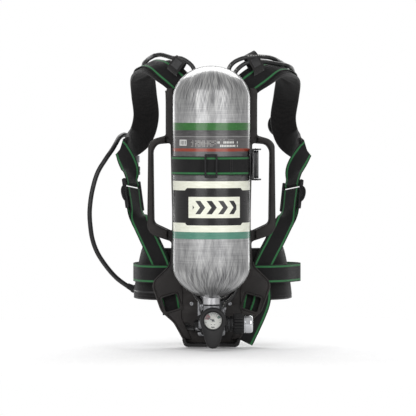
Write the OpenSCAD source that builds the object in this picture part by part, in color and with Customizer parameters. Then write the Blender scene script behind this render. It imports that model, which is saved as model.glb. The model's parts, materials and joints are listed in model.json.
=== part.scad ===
// Self-contained breathing air pack: a composite air cylinder strapped to a back plate,
// with its valve, pressure reducer, hoses, shoulder harness and waist belt.
// Millimetres. +Z is up, the wearer stands on the +Y side, and the origin is on the
// wearer's face of the back plate.

/* [Cylinder] */
// Outer radius of the air cylinder
cyl_r = 78.5; // [76:0.5:80]
// Height at which the upper dome begins
cyl_top = 183; // [170:1:190]
// Height at which the lower dome begins
cyl_bottom = -163; // [-165:1:-155]
// Height of the upper dome
dome_h = 65; // [55:1:75]
// Thickness of the fibre overwrap
wrap_t = 5; // [3:0.5:7]
// Thickness of the metal liner
liner_t = 3; // [2:0.5:5]
// Distance of the cylinder axis behind the plate's wearer face
cyl_back = 95; // [94:0.5:97]

/* [Cylinder strap] */
// Width of the webbing that holds the cylinder
band_w = 38; // [30:1:45]
// Height of the middle of that webbing
band_z = 46; // [40:1:60]

/* [Valve and gauge] */
// Height of the valve's cross axis
valve_z = -276; // [-280:1:-274]
// Radius of the valve's ribbed handwheel
wheel_r = 21.3; // [18:0.1:23]
// Radius of the gauge dial's case
gauge_r = 18.9; // [16:0.1:20]
// Radius of the coupling wheel of the reducer
coupling_r = 31; // [27:0.5:31]

/* [Back plate] */
// Thickness of the moulded plate
plate_t = 5; // [4:0.5:6]
// Depth of the side handles
handle_t = 14; // [10:1:16]

/* [Harness] */
// Width of the shoulder pads
pad_w = 54; // [48:1:58]
// Thickness of the shoulder pads
pad_t = 14; // [11:1:15]
// Width of the harness webbing
web_w = 38; // [34:1:40]
// Thickness of the harness webbing
web_t = 2; // [1.5:0.1:2.2]
// Height of the hip pad
hip_w = 108; // [90:1:112]
// Thickness of the hip pad
hip_t = 12; // [10:1:13]

/* [Hoses] */
// Diameter of the supply and demand hoses
hose_d = 10; // [8:0.5:10]
// Diameter of the hoses over the shoulders
line_d = 9; // [7:0.5:9.5]

/* [Hidden] */
$fn = 48;
eps = 0.01;
gap = 0.3;
run_fit = 0.05;
cyl_y = -cyl_back;

// ---------------------------------------------------------------- paths and sweeps

function unit(v) = v / norm(v);
function held(i, n) = max(0, min(n - 1, i));
function pos(q) = [q[0], q[1], q[2]];
function wid(q) = [q[3], q[4], q[5]];
function spline(a, b, c, d, t) =
    0.5 * (2 * b + (c - a) * t + (2 * a - 5 * b + 4 * c - d) * t * t
    + (3 * b - a - 3 * c + d) * t * t * t);
// n steps along a smooth curve through each pair of the stations q
function smooth(q, n) = concat(
    [for (i = [0:len(q) - 2]) for (k = [0:n - 1])
        spline(q[held(i - 1, len(q))], q[i], q[i + 1], q[held(i + 2, len(q))], k / n)],
    [q[len(q) - 1]]);
function heading(q, i) =
    unit(pos(q[held(i + 1, len(q))]) - pos(q[held(i - 1, len(q))]));
function across(q, i) = let (t = heading(q, i), w = wid(q[i])) unit(w - (w * t) * t);
function outward(q, i) = cross(heading(q, i), across(q, i));
// A point of a strip: shift is along its width, lift is out of its face
function strip_point(q, i, shift, lift) =
    pos(q[i]) + shift * across(q, i) + lift * outward(q, i);
function lifted(q, shift, lift, first, last) =
    [for (i = [first:last]) concat(strip_point(q, i, shift, lift), across(q, i))];
function strip_route(q, shift, lift, first, last) =
    [for (i = [first:last]) strip_point(q, i, shift, lift)];
function reversed(q) = [for (i = [len(q) - 1:-1:0]) q[i]];
function side_dirs(p, s, i = 0) = i == len(p) ? [] :
    let (t = heading(p, i), v = unit(s - (s * t) * t)) concat([v], side_dirs(p, v, i + 1));

// A closed skin over rings of equal point counts
module skin(rings) {
    n = len(rings[0]);
    m = len(rings);
    polyhedron(
        points = [for (r = rings) each r],
        faces = concat(
            [[for (k = [0:n - 1]) k]],
            [for (i = [0:m - 2]) for (k = [0:n - 1])
                [(i + 1) * n + k, (i + 1) * n + (k + 1) % n, i * n + (k + 1) % n, i * n + k]],
            [[for (k = [n - 1:-1:0]) (m - 1) * n + k]]));
}

// A flat strip of width w and thickness t along the stations q, its edges bevelled by b
module ribbon(q, w, t, b = 0) {
    x = w / 2;
    y = t / 2;
    outline = b == 0 ? [[x, -y], [x, y], [-x, y], [-x, -y]]
        : [[x - b, -y], [x, -y + b], [x, y - b], [x - b, y],
           [b - x, y], [-x, y - b], [-x, -y + b], [b - x, -y]];
    skin([for (i = [0:len(q) - 1]) [for (c = outline) strip_point(q, i, c[0], c[1])]]);
}

// A round hose of radius r along the points p
module hose(p, r, sides = 10, start = [0, 0.3, 1]) {
    s = side_dirs(p, start);
    skin([for (i = [0:len(p) - 1]) let (u = cross(heading(p, i), s[i]))
        [for (k = [0:sides - 1])
            p[i] + r * (cos(360 * k / sides) * s[i] + sin(360 * k / sides) * u)]]);
}

// A polygon [x, z, corner size] with its corners rounded, none past the middle of a side
function rounded(p, n = 5) = [for (i = [0:len(p) - 1])
    let (a = p[(i + len(p) - 1) % len(p)], b = p[i], c = p[(i + 1) % len(p)],
        o = [b[0], b[1]], before = [a[0], a[1]] - o, after = [c[0], c[1]] - o,
        r = min(b[2], 0.48 * norm(before), 0.48 * norm(after)))
    each (r == 0 ? [o] : [for (k = [0:n]) let (t = k / n)
        o + r * ((1 - t) * (1 - t) * unit(before) + t * t * unit(after))])];

// A drawing in X and Z made into a slab from y0 to y1
module slab(y0, y1) {
    translate([0, y1, 0]) rotate([90, 0, 0]) linear_extrude(y1 - y0) children();
}
// A round bar along Y
module bar_y(x, z, y0, y1, r) {
    translate([x, y1, z]) rotate([90, 0, 0]) cylinder(h = y1 - y0, r = r);
}
// A round bar along X
module bar_x(y, z, x0, x1, r) {
    translate([x0, y, z]) rotate([0, 90, 0]) cylinder(h = x1 - x0, r = r);
}
// A round bar along Z on the cylinder's axis
module bar_z(z0, z1, r) {
    translate([0, cyl_y, z0]) cylinder(h = z1 - z0, r = r);
}
module on_side(s) {
    if (s > 0) children(); else mirror([1, 0, 0]) children();
}
module both_sides() {
    children();
    mirror([1, 0, 0]) children();
}

// ---------------------------------------------------------------- cylinder

neck_r = 17.5;
bore_r = 13;
neck_end = -236;
lower_h = 60;
// Height of the lower dome's surface, set in by d, at radius r
function fall(r, d) = max(0, 1 - pow(r / (cyl_r - d), 2));
function low_z(r, d) = cyl_bottom - (lower_h - d) * pow(fall(r, d), 0.6);
function top_z(r, d) = cyl_top + (dome_h - d) * sqrt(fall(r, d));
// The cylinder's profile, set in by d, from radius r0 near the neck up to the top
function profile(d, r0) = let (r1 = cyl_r - d, a0 = asin(r0 / r1)) concat(
    [for (k = [0:16]) let (a = a0 + (90 - a0) * k / 16, r = r1 * sin(a)) [r, low_z(r, d)]],
    [for (k = [0:16]) let (a = 90 * (1 - k / 16), r = r1 * sin(a)) [r, top_z(r, d)]]);

module cylinder_wrap() {
    color("silver") translate([0, cyl_y, 0]) rotate_extrude($fn = 96)
        polygon(concat(profile(0, neck_r), reversed(profile(wrap_t, neck_r))));
}
module cylinder_liner() {
    d = wrap_t + liner_t;
    color("lightgray") translate([0, cyl_y, 0]) rotate_extrude($fn = 96)
        polygon(concat([[bore_r, neck_end], [neck_r, neck_end]], profile(wrap_t, neck_r),
            reversed(profile(d, bore_r))));
}
module neck_seal() {
    color("black") translate([0, cyl_y, neck_end - 1.5])
        rotate_extrude() translate([15.2, 0]) circle(r = 1.5, $fn = 24);
}

// ---------------------------------------------------------------- valve and its gauge

valve_r = 16.8;
gauge_x = 3;
gauge_z = -267;
boot_front = -152;
boot_back = -124;
spindle_r = 4;
wheel_x = 43.4;
cap_x = 65.6;

module valve_body() {
    color("silver") difference() {
        union() {
            bar_z(neck_end - 4, -206, bore_r - run_fit);
            bar_z(-294, neck_end - 3, valve_r);
            bar_x(cyl_y, valve_z, 8, 43, 13);
            bar_x(cyl_y, valve_z, -26, -8, 10);
            bar_y(gauge_x, gauge_z, boot_back - 2, cyl_y - 5, 8);
            bar_y(0, valve_z + 1, cyl_y + 5, -62, 11);
        }
        bar_x(cyl_y, valve_z, 14, 44, spindle_r + run_fit);
        bar_y(0, valve_z + 1, -84, -61, 4);
        bar_z(-262, -205, 3.2);
    }
}
module burst_disc() {
    color("goldenrod") translate([-26, cyl_y, valve_z]) rotate([0, -90, 0]) {
        cylinder(h = 7, r = 8.5, $fn = 6);
        translate([0, 0, 7]) cylinder(h = 3, r = 5);
    }
}
module valve_spindle() {
    color("silver") bar_x(cyl_y, valve_z, 15, 62, spindle_r);
}
module valve_handwheel() {
    ribs = 18;
    color("#202022") translate([wheel_x, cyl_y, valve_z]) rotate([0, 90, 0]) difference() {
        union() {
            cylinder(h = cap_x - wheel_x, r = wheel_r - 1.5);
            for (k = [0:ribs - 1]) rotate(360 * k / ribs)
                translate([wheel_r - 2.4, 0, 1.5]) cylinder(h = cap_x - wheel_x - 3, r = 2.4, $fn = 16);
        }
        translate([0, 0, -1]) cylinder(h = 19.6, r = spindle_r);
    }
}
module handwheel_cap() {
    cap_r = 18.6;
    color("silver") translate([cap_x, cyl_y, valve_z]) rotate([0, 90, 0]) rotate_extrude()
        polygon(concat([[0, 0], [cap_r, 0], [cap_r, 12]],
            [for (k = [0:6]) let (a = 15 * k) [cap_r - 5 + 5 * cos(a), 13.5 + 5 * sin(a)]],
            [[cap_r - 7, 18.5], [cap_r - 8, 16.5], [0, 16.5]]));
}
// Teardrop outline of the gauge's boot, shrunk by d
module boot_outline(d) {
    big = 26.5 - d;
    small = 14.5 - d;
    drop = 42;
    lean = asin((big - small) / drop);
    n = [cos(lean), -sin(lean)];
    translate([gauge_x, gauge_z]) {
        circle(r = big);
        translate([0, -drop]) circle(r = small);
        polygon([big * n, [small * n[0], small * n[1] - drop],
            [-small * n[0], small * n[1] - drop], [-big * n[0], big * n[1]]]);
    }
}
module gauge_boot() {
    color("#1c1c1e") difference() {
        union() {
            slab(boot_front + 2, boot_back) boot_outline(0);
            slab(boot_front, boot_front + 2) boot_outline(1.6);
        }
        bar_y(gauge_x, gauge_z, boot_front - 1, boot_back - 3, gauge_r + eps);
        bar_y(gauge_x, gauge_z, boot_back - 4, boot_back + 1, 8 + run_fit);
    }
}
module gauge_case() {
    color("silver") difference() {
        bar_y(gauge_x, gauge_z, boot_front + 0.5, boot_back - 3, gauge_r);
        bar_y(gauge_x, gauge_z, boot_front - 1, boot_back - 7, gauge_r - 1.4);
    }
}
module gauge_dial() {
    color("white") bar_y(gauge_x, gauge_z, boot_back - 9, boot_back - 7, gauge_r - 1.5);
}
// A pointer lying in the X and Z plane, turned by a from straight up
module pointer(x, z, y0, len, a) {
    translate([x, y0, z]) rotate([0, a, 0]) {
        translate([0, 1.6, 0]) rotate([90, 0, 0]) cylinder(h = 1.6, r = 2.2);
        translate([-0.8, 0, -4]) cube([1.6, 0.8, len + 4]);
    }
}
module gauge_needle() {
    color("black") pointer(gauge_x, gauge_z, boot_back - 12, 12.5, -62);
}
module gauge_lens() {
    color([0.85, 0.92, 0.95, 0.4])
        bar_y(gauge_x, gauge_z, boot_front + 1.5, boot_front + 3.5, gauge_r - 1.5);
}

// ---------------------------------------------------------------- reducer

reducer_z = valve_z + 1;
module coupling_wheel() {
    lobes = 10;
    color("#1a1a1c") difference() {
        union() {
            bar_y(0, reducer_z, -70, -50, coupling_r - 1.2);
            for (k = [0:lobes - 1])
                bar_y((coupling_r - 4) * cos(36 * k), reducer_z + (coupling_r - 4) * sin(36 * k),
                    -68, -52, 4);
        }
        bar_y(0, reducer_z, -71, -61, 11 + run_fit);
        bar_y(0, reducer_z, -62, -49, 8 + run_fit);
    }
}
module reducer_nipple() {
    color("goldenrod") difference() {
        bar_y(0, reducer_z, -61, -44, 8);
        bar_y(0, reducer_z, -62, -44, 3);
    }
}
module reducer_body() {
    color("gray") difference() {
        union() {
            bar_y(0, reducer_z, -47, -10, 23);
            bar_y(0, reducer_z - 14, -44, -14, 12);
        }
        bar_y(0, reducer_z, -48, -44, 8);
        bar_y(0, reducer_z, -44 - eps, -30, 3);
    }
}
// Hexagonal hose unions: three pointing up and out, one to the left
module hose_ports() {
    color("silver") {
        translate([-16, -26, -257]) rotate([0, -18, 0]) port(10);
        translate([10, -20, -254]) rotate([0, 14, 0]) port(8);
        translate([19.5, -34, -259]) rotate([0, 28, 0]) port(8);
        translate([-21.5, -28, -290]) rotate([0, -90, 0]) port(8);
    }
}
module port(h) {
    cylinder(h = h, r = 7, $fn = 6);
    translate([0, 0, h]) cylinder(h = 3, r = 5.6);
}
module reducer_bracket() {
    color("silver") difference() {
        union() {
            slab(-9, -plate_t)
                polygon(rounded([[-28, -226, 4], [28, -226, 4], [28, -306, 6], [-28, -306, 6]]));
            for (x = [-28, 22]) translate([x, -13, -244]) cube([6, 13 - plate_t, 17]);
        }
        for (x = [-14, 14]) bar_y(x, -300, -10, -4, 2.2);
    }
}

// ---------------------------------------------------------------- back plate

plate_half = [
    [94, 206, 15], [94, 106, 4], [119, 99, 8], [130, 88, 10], [132, -86, 10],
    [121, -99, 8], [82, -112, 6], [85, -163, 8], [119, -193, 8], [122, -205, 8], [104, -256, 8],
    [78, -279, 8], [53, -324, 4]
];
handle_gap = [[84, 90, 5], [110, 88, 8], [118.5, 76, 8], [116.5, -73, 8], [80, -90, 5]];
window_half = [[-15.5, 15, 4], [15.5, 15, 4], [15.5, -15, 4], [-15.5, -15, 4]];
window_x = 82.6;
window_z = -238;
screw_spots = [[-40.6, -239.5], [37.6, -239.5], [-20, 150], [20, 150], [-20, -140], [20, -140]];

handle_half = [
    [94, 104, 0], [119, 97.5, 8], [128.5, 87, 9], [130.5, -85.5, 9], [120, -97.5, 8], [90, -107, 0],
    [90, -88, 0], [118, -73.7, 8], [120, 76.5, 8], [110.8, 89.5, 8], [94, 91.3, 0]
];
// The whole outline of a shape given for the +X side
function both_halves(p) = concat(rounded(p), [for (v = reversed(rounded(p))) [-v[0], v[1]]]);
module plate_outline() {
    difference() {
        polygon(both_halves(plate_half));
        for (s = [1, -1]) {
            polygon([for (v = rounded(handle_gap)) [s * v[0], v[1]]]);
            translate([s * window_x, window_z]) rotate(-17 * s) polygon(rounded(window_half));
        }
        for (s = screw_spots) translate(s) circle(r = 2.6);
        translate([-51, -287]) circle(r = 8);
    }
}
module back_plate() {
    rib_t = 4;
    color("#2a292b") union() {
        slab(-plate_t, 0) plate_outline();
        both_sides() slab(-handle_t, eps - plate_t) polygon(rounded(handle_half));
        for (x = [-76, 72]) translate([x, -plate_t - 5, -150]) cube([rib_t, 5 + eps, 345]);
    }
}
module plate_bumper() {
    outer = [[-60, -311, 0], [-55, -326, 10], [55, -326, 10], [60, -311, 0],
             [53, -309, 0], [49, -319, 6], [-49, -319, 6], [-53, -309, 0]];
    color("#1a1a1c") slab(-52, -plate_t) polygon(rounded(outer));
}
// Rubber saddles that the cylinder rests on
module rest_pads() {
    color("#151517") difference() {
        for (z = [-112, 84]) translate([-32, -32, z]) cube([64, 32 - plate_t, 28]);
        bar_z(-150, 150, cyl_r + gap, $fn = 96);
    }
}
module strap_bracket() {
    color("dimgray") difference() {
        translate([-34, -30, band_z - band_w / 2 - 4]) cube([68, 30 - plate_t, band_w + 8]);
        bar_z(0, 100, cyl_r + 5, $fn = 96);
    }
}
module plate_screws() {
    color("gray") for (s = screw_spots) {
        bar_y(s[0], s[1], -plate_t - eps, -0.5, 2.5);
        difference() {
            bar_y(s[0], s[1], -plate_t - 2.5, -plate_t, 3.9);
            translate([s[0], -plate_t - 1.5, s[1]]) rotate([90, 0, 0])
                cylinder(h = 2, r = 2.2, $fn = 6);
        }
    }
}

// ---------------------------------------------------------------- cylinder strap and its cam buckle

strap_r = cyl_r + 0.4;
buckle_a = -10;
module band(r, t, a0, a1) {
    translate([0, cyl_y, band_z - band_w / 2]) rotate(a0)
        rotate_extrude(angle = a1 - a0, $fn = 96) translate([r, 0]) square([t, band_w]);
}
module cylinder_strap() {
    tail_r = strap_r + web_t + 0.4;
    color("#1b1b1c") {
        band(strap_r, web_t, 0, 360);
        band(tail_r, web_t, -104, -28);
    }
}
module strap_slider() {
    y = cyl_y - strap_r - 2 * web_t - 4.4;
    color("#101012") difference() {
        translate([-14, y, band_z - 24]) cube([26, 2.6, 48]);
        translate([-10.2, y - 1, band_z - 20]) cube([18.4, 5, 40]);
    }
}
// The buckle stands on the strap: local X is away from the axis, local -Y is towards the front
module at_buckle() {
    translate([0, cyl_y, band_z + 2]) rotate(buckle_a) translate([strap_r + web_t + 0.4, 0, 0])
        children();
}
pin_x = 9;
pin_y = 12;
pin_r = 2;
module cam_frame() {
    color("#26262a") at_buckle() difference() {
        union() {
            translate([0.6, -20, -30]) cube([2.6, 40, 60]);
            for (z = [-32, 29]) translate([0.6, -16, z]) cube([17, 36, 3]);
        }
        translate([pin_x, pin_y, -40]) cylinder(h = 80, r = pin_r);
    }
}
module cam_pin() {
    color("silver") at_buckle() translate([pin_x, pin_y, -33]) cylinder(h = 66, r = pin_r);
}
module cam_lever() {
    color("#303034") at_buckle() difference() {
        union() {
            translate([pin_x, pin_y, -28]) cylinder(h = 56, r = 4.6);
            translate([pin_x + 1.6, pin_y - 40, -24]) cube([3, 40, 48]);
            translate([pin_x + 1.6, pin_y - 40, -24]) cube([6, 3, 48]);
        }
        translate([pin_x, pin_y, -40]) cylinder(h = 80, r = pin_r + run_fit);
    }
}

// ---------------------------------------------------------------- shoulder harness

// Stations [x, y, z, width direction] of each pad's middle, from the plate over the shoulder
// and down the chest to the side under the arm, for the side at +X
pad_path_left = [
    [44, 13, 192, -0.6, 0, 0.8], [82, 15, 229, -0.5, 0, 0.87], [115, 38, 246, -0.75, 0.45, 0.4],
    [135, 82, 244, -0.9, 0.1, 0.42], [143, 129.5, 227.5, -0.93, 0, 0.37], [141, 170.5, 190.5, -0.97, 0, 0.2],
    [137, 192, 145, -1, 0, 0.05], [147, 194, 106, -0.9, 0.2, -0.4], [168, 164, 84, -0.3, 0.4, -0.86],
    [181, 120, 77, 0.3, 0.1, -0.95]
];
pad_path_right = [
    [48, 13, 188, -0.6, 0, 0.8], [88, 15, 221, -0.45, 0, 0.89], [127, 38, 239, -0.75, 0.45, 0.4],
    [151, 82, 237, -0.9, 0.1, 0.42], [160, 131, 221, -0.93, 0, 0.37], [157, 173, 186, -0.97, 0, 0.2],
    [151, 192, 140, -1, 0, 0.05], [159, 194, 103, -0.9, 0.2, -0.4], [178, 164, 82, -0.3, 0.4, -0.86],
    [190, 120, 75, 0.3, 0.1, -0.95]
];
pad_steps = 4;
function pad_of(s) = smooth(s > 0 ? pad_path_right : pad_path_left, pad_steps);
web_lift = pad_t / 2 + web_t / 2 + 0.2;

// The ladder lock: middle and turn about X, Y and Z for each side
function lock_lean(s) = s > 0 ? [-22, -10, -38] : [-18, -9, -48];
function lock_at(s) = s > 0 ? [166, 62, -20] : [162, 62, -18];
function lock_turned(a, v) = let (
    y = v[1] * cos(a[0]) - v[2] * sin(a[0]),
    h = v[1] * sin(a[0]) + v[2] * cos(a[0]),
    x = v[0] * cos(a[1]) + h * sin(a[1]),
    z = h * cos(a[1]) - v[0] * sin(a[1]))
    [x * cos(a[2]) - y * sin(a[2]), x * sin(a[2]) + y * cos(a[2]), z];
function lock_world(s, v) = lock_at(s) + lock_turned(lock_lean(s), v);
function lock_across(s) = lock_turned(lock_lean(s), [1, 0, 0]);
module at_lock(s) {
    translate(lock_at(s)) rotate(lock_lean(s)) children();
}
bar_r = 2.2;
bar_top = 24;
bar_mid = 12;
bar_low = -24;
turn_r = bar_r + gap + web_t / 2;
// Webbing round a bar of the lock at height z, from angle a0 to a1
function turn(s, z, a0, a1) = [for (k = [0:8]) let (a = a0 + (a1 - a0) * k / 8)
    concat(lock_world(s, [0, turn_r * cos(a), z + turn_r * sin(a)]), lock_across(s))];

module shoulder_pad(s) {
    color("#1d1d1e") on_side(s) ribbon(pad_of(s), pad_w, pad_t, 3.5);
}
// Webbing along the pad's face, then down to the lock's top bar, round it and back
module shoulder_webbing(s) {
    q = pad_of(s);
    drop = smooth([
        concat(strip_point(q, len(q) - 1, 0, web_lift), across(q, len(q) - 1)),
        concat(lock_at(s) + [9, 33, 60], [0.75, -0.38, -0.55]),
        concat(lock_world(s, [0.5, -1, 40]), lock_across(s)),
        turn(s, bar_top, 180, 360)[0]], 5);
    back = concat(lock_world(s, [0, 4.2, 36]), lock_across(s));
    around = [for (k = [1:8]) turn(s, bar_top, 180, 360)[k]];
    color("#1b1b1c") on_side(s)
        ribbon(concat(lifted(q, 0, web_lift, 0, len(q) - 2), drop, around, [back]), web_w, web_t);
}
module shoulder_anchors() {
    color("dimgray") both_sides() slab(0, 3)
        polygon(rounded([[22, 172, 3], [66, 172, 3], [66, 184, 3], [22, 184, 3]]));
}
// A webbing loop that holds the hoses down on the pad, drawn as [shift, lift] from its base
loop_left = [[-12, 0], [-10, 8], [-4, 13.4], [8, 14.8], [17, 14.8], [21.8, 9], [20.5, 1],
    [13, -5], [6, -8]];
loop_right = [[-13, 0], [-9, 8], [-2, 13.8], [12, 14.8], [24, 14.8], [31.5, 9], [30, 1],
    [17, -5.5], [6, -8]];
module hose_keeper(s) {
    q = pad_of(s);
    i = s > 0 ? 5 : 4;
    base = strip_point(q, i, 18, web_lift + 1.2);
    color("#161617") on_side(s)
        ribbon([for (e = s > 0 ? loop_right : loop_left)
            concat(base + e[0] * across(q, i) + e[1] * outward(q, i), heading(q, i))], 26, 1.6);
}
module strap_lock(s) {
    rail = 5;
    half = web_w / 2 + 1.8;
    color("#232326") on_side(s) at_lock(s) {
        for (x = [-half - rail, half]) translate([x, -4, -31]) cube([rail, 8, 64]);
        slab(-3, 0) polygon(concat([[half + rail - eps, -18], [half + rail - eps, 18]],
            [for (k = [0:8]) let (b = 90 - 22.5 * k)
                [half + rail + 12 * cos(b), 18 * sin(b)]]));
        for (z = [bar_top, bar_mid, bar_low])
            bar_x(0, z, -half - eps, half + eps, bar_r);
    }
}
// The pull strap: from its anchor behind the plate's window up behind the lower bar,
// over the middle bar and down again as a free tail
anchor_left = [[81, 6, -262], [84, 6, -238], [91, 9, -205], [98, 13.2, -174], [106, 17, -150],
    [124, 26, -112], [142, 38, -76]];
anchor_right = [[81, 7, -262], [84, 7, -238], [92, 9.5, -205], [100, 13.2, -174],
    [109, 17, -150], [129, 26, -112], [147, 38, -78]];
tail_left = [[145, 33.5, -74], [127, 21.5, -112], [109, 13, -150], [101, 9.8, -172], [99, 9, -180]];
tail_right = [[150, 33.5, -76], [132, 21.5, -112], [112, 13, -150], [103, 9.8, -173],
    [103, 7.2, -203], [103, 3.6, -234], [89, 2.8, -272], [67, 2.8, -318]];
// Points given the pull strap's width direction, which lies flat along the plate below the belt
function with_width(p) = [for (v = p)
    concat(v, [0.9, v[2] > -195 ? 0.2 : v[2] > -204 ? 0.1 : 0, -0.35])];
module pull_strap(s) {
    over = turn(s, bar_mid, 0, 180);
    up = smooth(concat(with_width(s > 0 ? anchor_right : anchor_left),
        [concat(lock_world(s, [0, 4.6, -36]), lock_across(s)), over[0]]), 3);
    down = smooth(concat([over[8], concat(lock_world(s, [0, -4.8, -36]), lock_across(s))],
        with_width(s > 0 ? tail_right : tail_left)), 3);
    color("#1b1b1c") on_side(s)
        ribbon(concat(up, [for (k = [1:7]) over[k]], down), web_w, web_t);
}

// ---------------------------------------------------------------- hip pad and waist belt

hip_z = -180;
// Half of the hip pad's line, with its wing standing out by this much more
function hip_half(out) = [
    [0, 19, hip_z, 0, 0, 1], [60, 21, hip_z, 0, 0, 1], [97, 27, hip_z, -0.05, 0, 1],
    [123 + out / 2, 40, hip_z, -0.1, 0.05, 1], [142 + out * 0.8, 68, hip_z, -0.15, 0.03, 1],
    [150 + out, 110, hip_z, -0.17, 0, 1], [148 + out, 150, hip_z, -0.17, 0, 1]
];
function mirror_strip(q) = [for (v = q) [-v[0], v[1], v[2], -v[3], v[4], v[5]]];
hip_q = smooth(concat(reversed(mirror_strip(hip_half(0))),
    [for (i = [1:6]) hip_half(6)[i]]), 4);
belt_z = -179;
belt_path_left = [[32, 2.5], [60, 2.5], [95, 3.2], [124, 10], [149, 42], [160, 95], [161, 130],
    [151, 170], [118, 205], [70, 225], [42, 230]];
belt_path_right = [[32, 2.5], [60, 2.5], [95, 3.2], [126, 9.5], [154, 38], [175, 84], [185, 112],
    [179, 145], [153, 180], [114, 208], [70, 225], [42, 230]];
function belt_of(s) = smooth([for (p = s > 0 ? belt_path_right : belt_path_left)
    [p[0], p[1], belt_z, 0, 0, 1]], 4);
channel_shift = -38;
supply_route = concat(
    smooth([[-33, -28, -290], [-42, -17, -290], [-50, -3, -288], [-60, 12, -276], [-76, 19, -252],
        strip_point(hip_q, 16, channel_shift - 6, 0), strip_point(hip_q, 14, channel_shift, 0)], 3),
    reversed(strip_route(hip_q, channel_shift, 0, 3, 13)),
    [strip_point(hip_q, 2, channel_shift, 3)]);
gland_at = strip_point(hip_q, 1, channel_shift, hip_t / 2);
// The strain relief leans up and away from the pad, this far from upright
gland_lean = 64;
gland_dir = [-sin(gland_lean), 0, cos(gland_lean)];

module hip_pad() {
    color("#222223") difference() {
        ribbon(hip_q, hip_w, hip_t, 3);
        hose(supply_route, hose_d / 2 - 0.2);
    }
}
module belt(s) {
    color("#1b1b1c") on_side(s) ribbon(belt_of(s), web_w, web_t);
}
// Block that holds both belt ends on the plate, with a slot for each
module belt_clamp() {
    slot_h = web_w + 0.6;
    color("#28282a") difference() {
        slab(0, 12) polygon(rounded([[-36, belt_z - 24, 4], [36, belt_z - 24, 4],
            [36, belt_z + 24, 4], [-36, belt_z + 24, 4]]));
        for (x = [-37, 31.5]) translate([x, 2.5 - web_t / 2 - 0.2, belt_z - slot_h / 2])
            cube([5.5, web_t + 0.4, slot_h]);
    }
}
buckle_y = 230;
module buckle_socket() {
    color("#2c2c30") difference() {
        translate([-42, buckle_y - 9, belt_z - 25]) cube([48, 20, 50]);
        translate([-22, buckle_y - 3, belt_z - 17]) cube([29, 6, 34]);
        translate([-43, buckle_y - 1.3, belt_z - web_w / 2 - 0.3]) cube([8, 2.6, web_w + 0.6]);
        translate([-14, buckle_y + 2, belt_z]) rotate([-90, 0, 0]) cylinder(h = 20, r = 8);
    }
}
module buckle_tongue() {
    color("silver") {
        translate([-16, buckle_y - 1.5, belt_z - 15]) cube([38, 3, 30]);
        difference() {
            translate([14, buckle_y - 5, belt_z - 25]) cube([28, 10, 50]);
            translate([34, buckle_y - 1.3, belt_z - web_w / 2 - 0.3]) cube([9, 2.6, web_w + 0.6]);
        }
    }
}
module buckle_button() {
    color("firebrick") translate([-14, buckle_y + 7, belt_z]) rotate([-90, 0, 0])
        cylinder(h = 6, r = 8 - run_fit);
}
module hose_gland() {
    color("#303032") translate(gland_at - 2 * gland_dir) rotate([0, -gland_lean, 0]) {
        cylinder(h = 7, r = 8.5);
        translate([0, 0, 7]) cylinder(h = 12, r1 = 7.2, r2 = 5.8);
    }
}

// ---------------------------------------------------------------- hoses

// The free demand hose: out of the gland, round in an open loop and up under the arm
demand_start = gland_at + 17.1 * gland_dir;
demand_route = concat([gland_at + 14 * gland_dir, demand_start + 3 * gland_dir], [
    [-198, 140, -193], [-217, 127, -171], [-236, 116, -142], [-247, 108, -113], [-252, 104, -81],
    [-253, 102, -49], [-248, 102, -11], [-237, 106, 27], [-220, 115, 56], [-207, 127, 75],
    [-199, 142, 89], [-192, 160, 101], [-182, 184, 106], [-171, 206, 98], [-164, 219, 80],
    [-162, 223, 62]]);
// A line that climbs the plate beside the spine and follows a shoulder pad to the chest
function climb(start, x, top) = concat([start, start + [x > 0 ? 3 : -3, 1, 12]], [[x * 0.8, -18, -222],
    [x, -12, -190], [x, -11, -120], [x, -11, -40], [x, -11, 40], [x, -11, 120], [x, -11, 185]], top);
function mirror_x(p) = [for (v = p) [-v[0], v[1], v[2]]];
over_lift = web_lift + web_t / 2 + line_d / 2 + 0.6;
rescue_end = [-131, 218, 148];
console_r = 26;
console_c = [145, 221.5, 127];
whistle_end = strip_point(pad_of(1), 20, -6, over_lift + 3.4);
rescue_route = concat(
    smooth(concat(climb([-20, -26, -244.5], -40, [[-37, -11, 221], [-36, -9, 241]]),
        [[-45, -5, 254], [-62, -1, 264], [-79, 4, 265], [-92, 11, 269], [-105, 21, 272],
        [-118, 35, 270]]), 3),
    mirror_x(strip_route(pad_of(-1), 10, over_lift + 1.5, 11, 11)),
    mirror_x(strip_route(pad_of(-1), 8, over_lift, 12, 12)),
    mirror_x(strip_route(pad_of(-1), 6, over_lift, 13, 21)),
    [[-131, 204, 171], [-131, 213, 160], rescue_end]);
gauge_line_route = concat(
    smooth(concat(climb([13, -20, -243.5], 40, [[37, -11, 221], [36, -9, 242]]),
        [[45, -6, 255], [60, -3, 263], [77, 0, 267], [93, 6, 268], [107, 18, 267.5],
        [121, 35, 266], [133, 53, 262]]), 3),
    strip_route(pad_of(1), 14, over_lift + 0.5, 12, 12),
    strip_route(pad_of(1), 10, over_lift, 13, 21),
    [[145, 207, 174], [145, 217, 165], console_c + [0, 0, console_r]]);
whistle_line_route = concat(
    smooth(concat(climb([25, -34, -249.5], 55, [[50, -10, 214], [48, -8, 232]]),
        [[56, -5, 244], [70, -2, 254], [85, 2, 258], [100, 11, 258], [113, 22, 257]]), 3),
    strip_route(pad_of(1), -2, over_lift, 9, 10),
    strip_route(pad_of(1), -6, over_lift, 11, 18),
    [strip_point(pad_of(1), 19, -6, over_lift + 1.5), whistle_end]);

module supply_hose() {
    color("#131314") hose(supply_route, hose_d / 2 - 0.4);
}
module demand_hose() {
    color("#131314") hose(smooth(demand_route, 3), hose_d / 2);
}
module rescue_hose() {
    color("#131314") hose(rescue_route, line_d / 2, 8);
}
module gauge_line() {
    color("#131314") hose(gauge_line_route, line_d / 2, 8);
}
module whistle_line() {
    color("#131314") hose(whistle_line_route, line_d / 2, 8);
}

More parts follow.
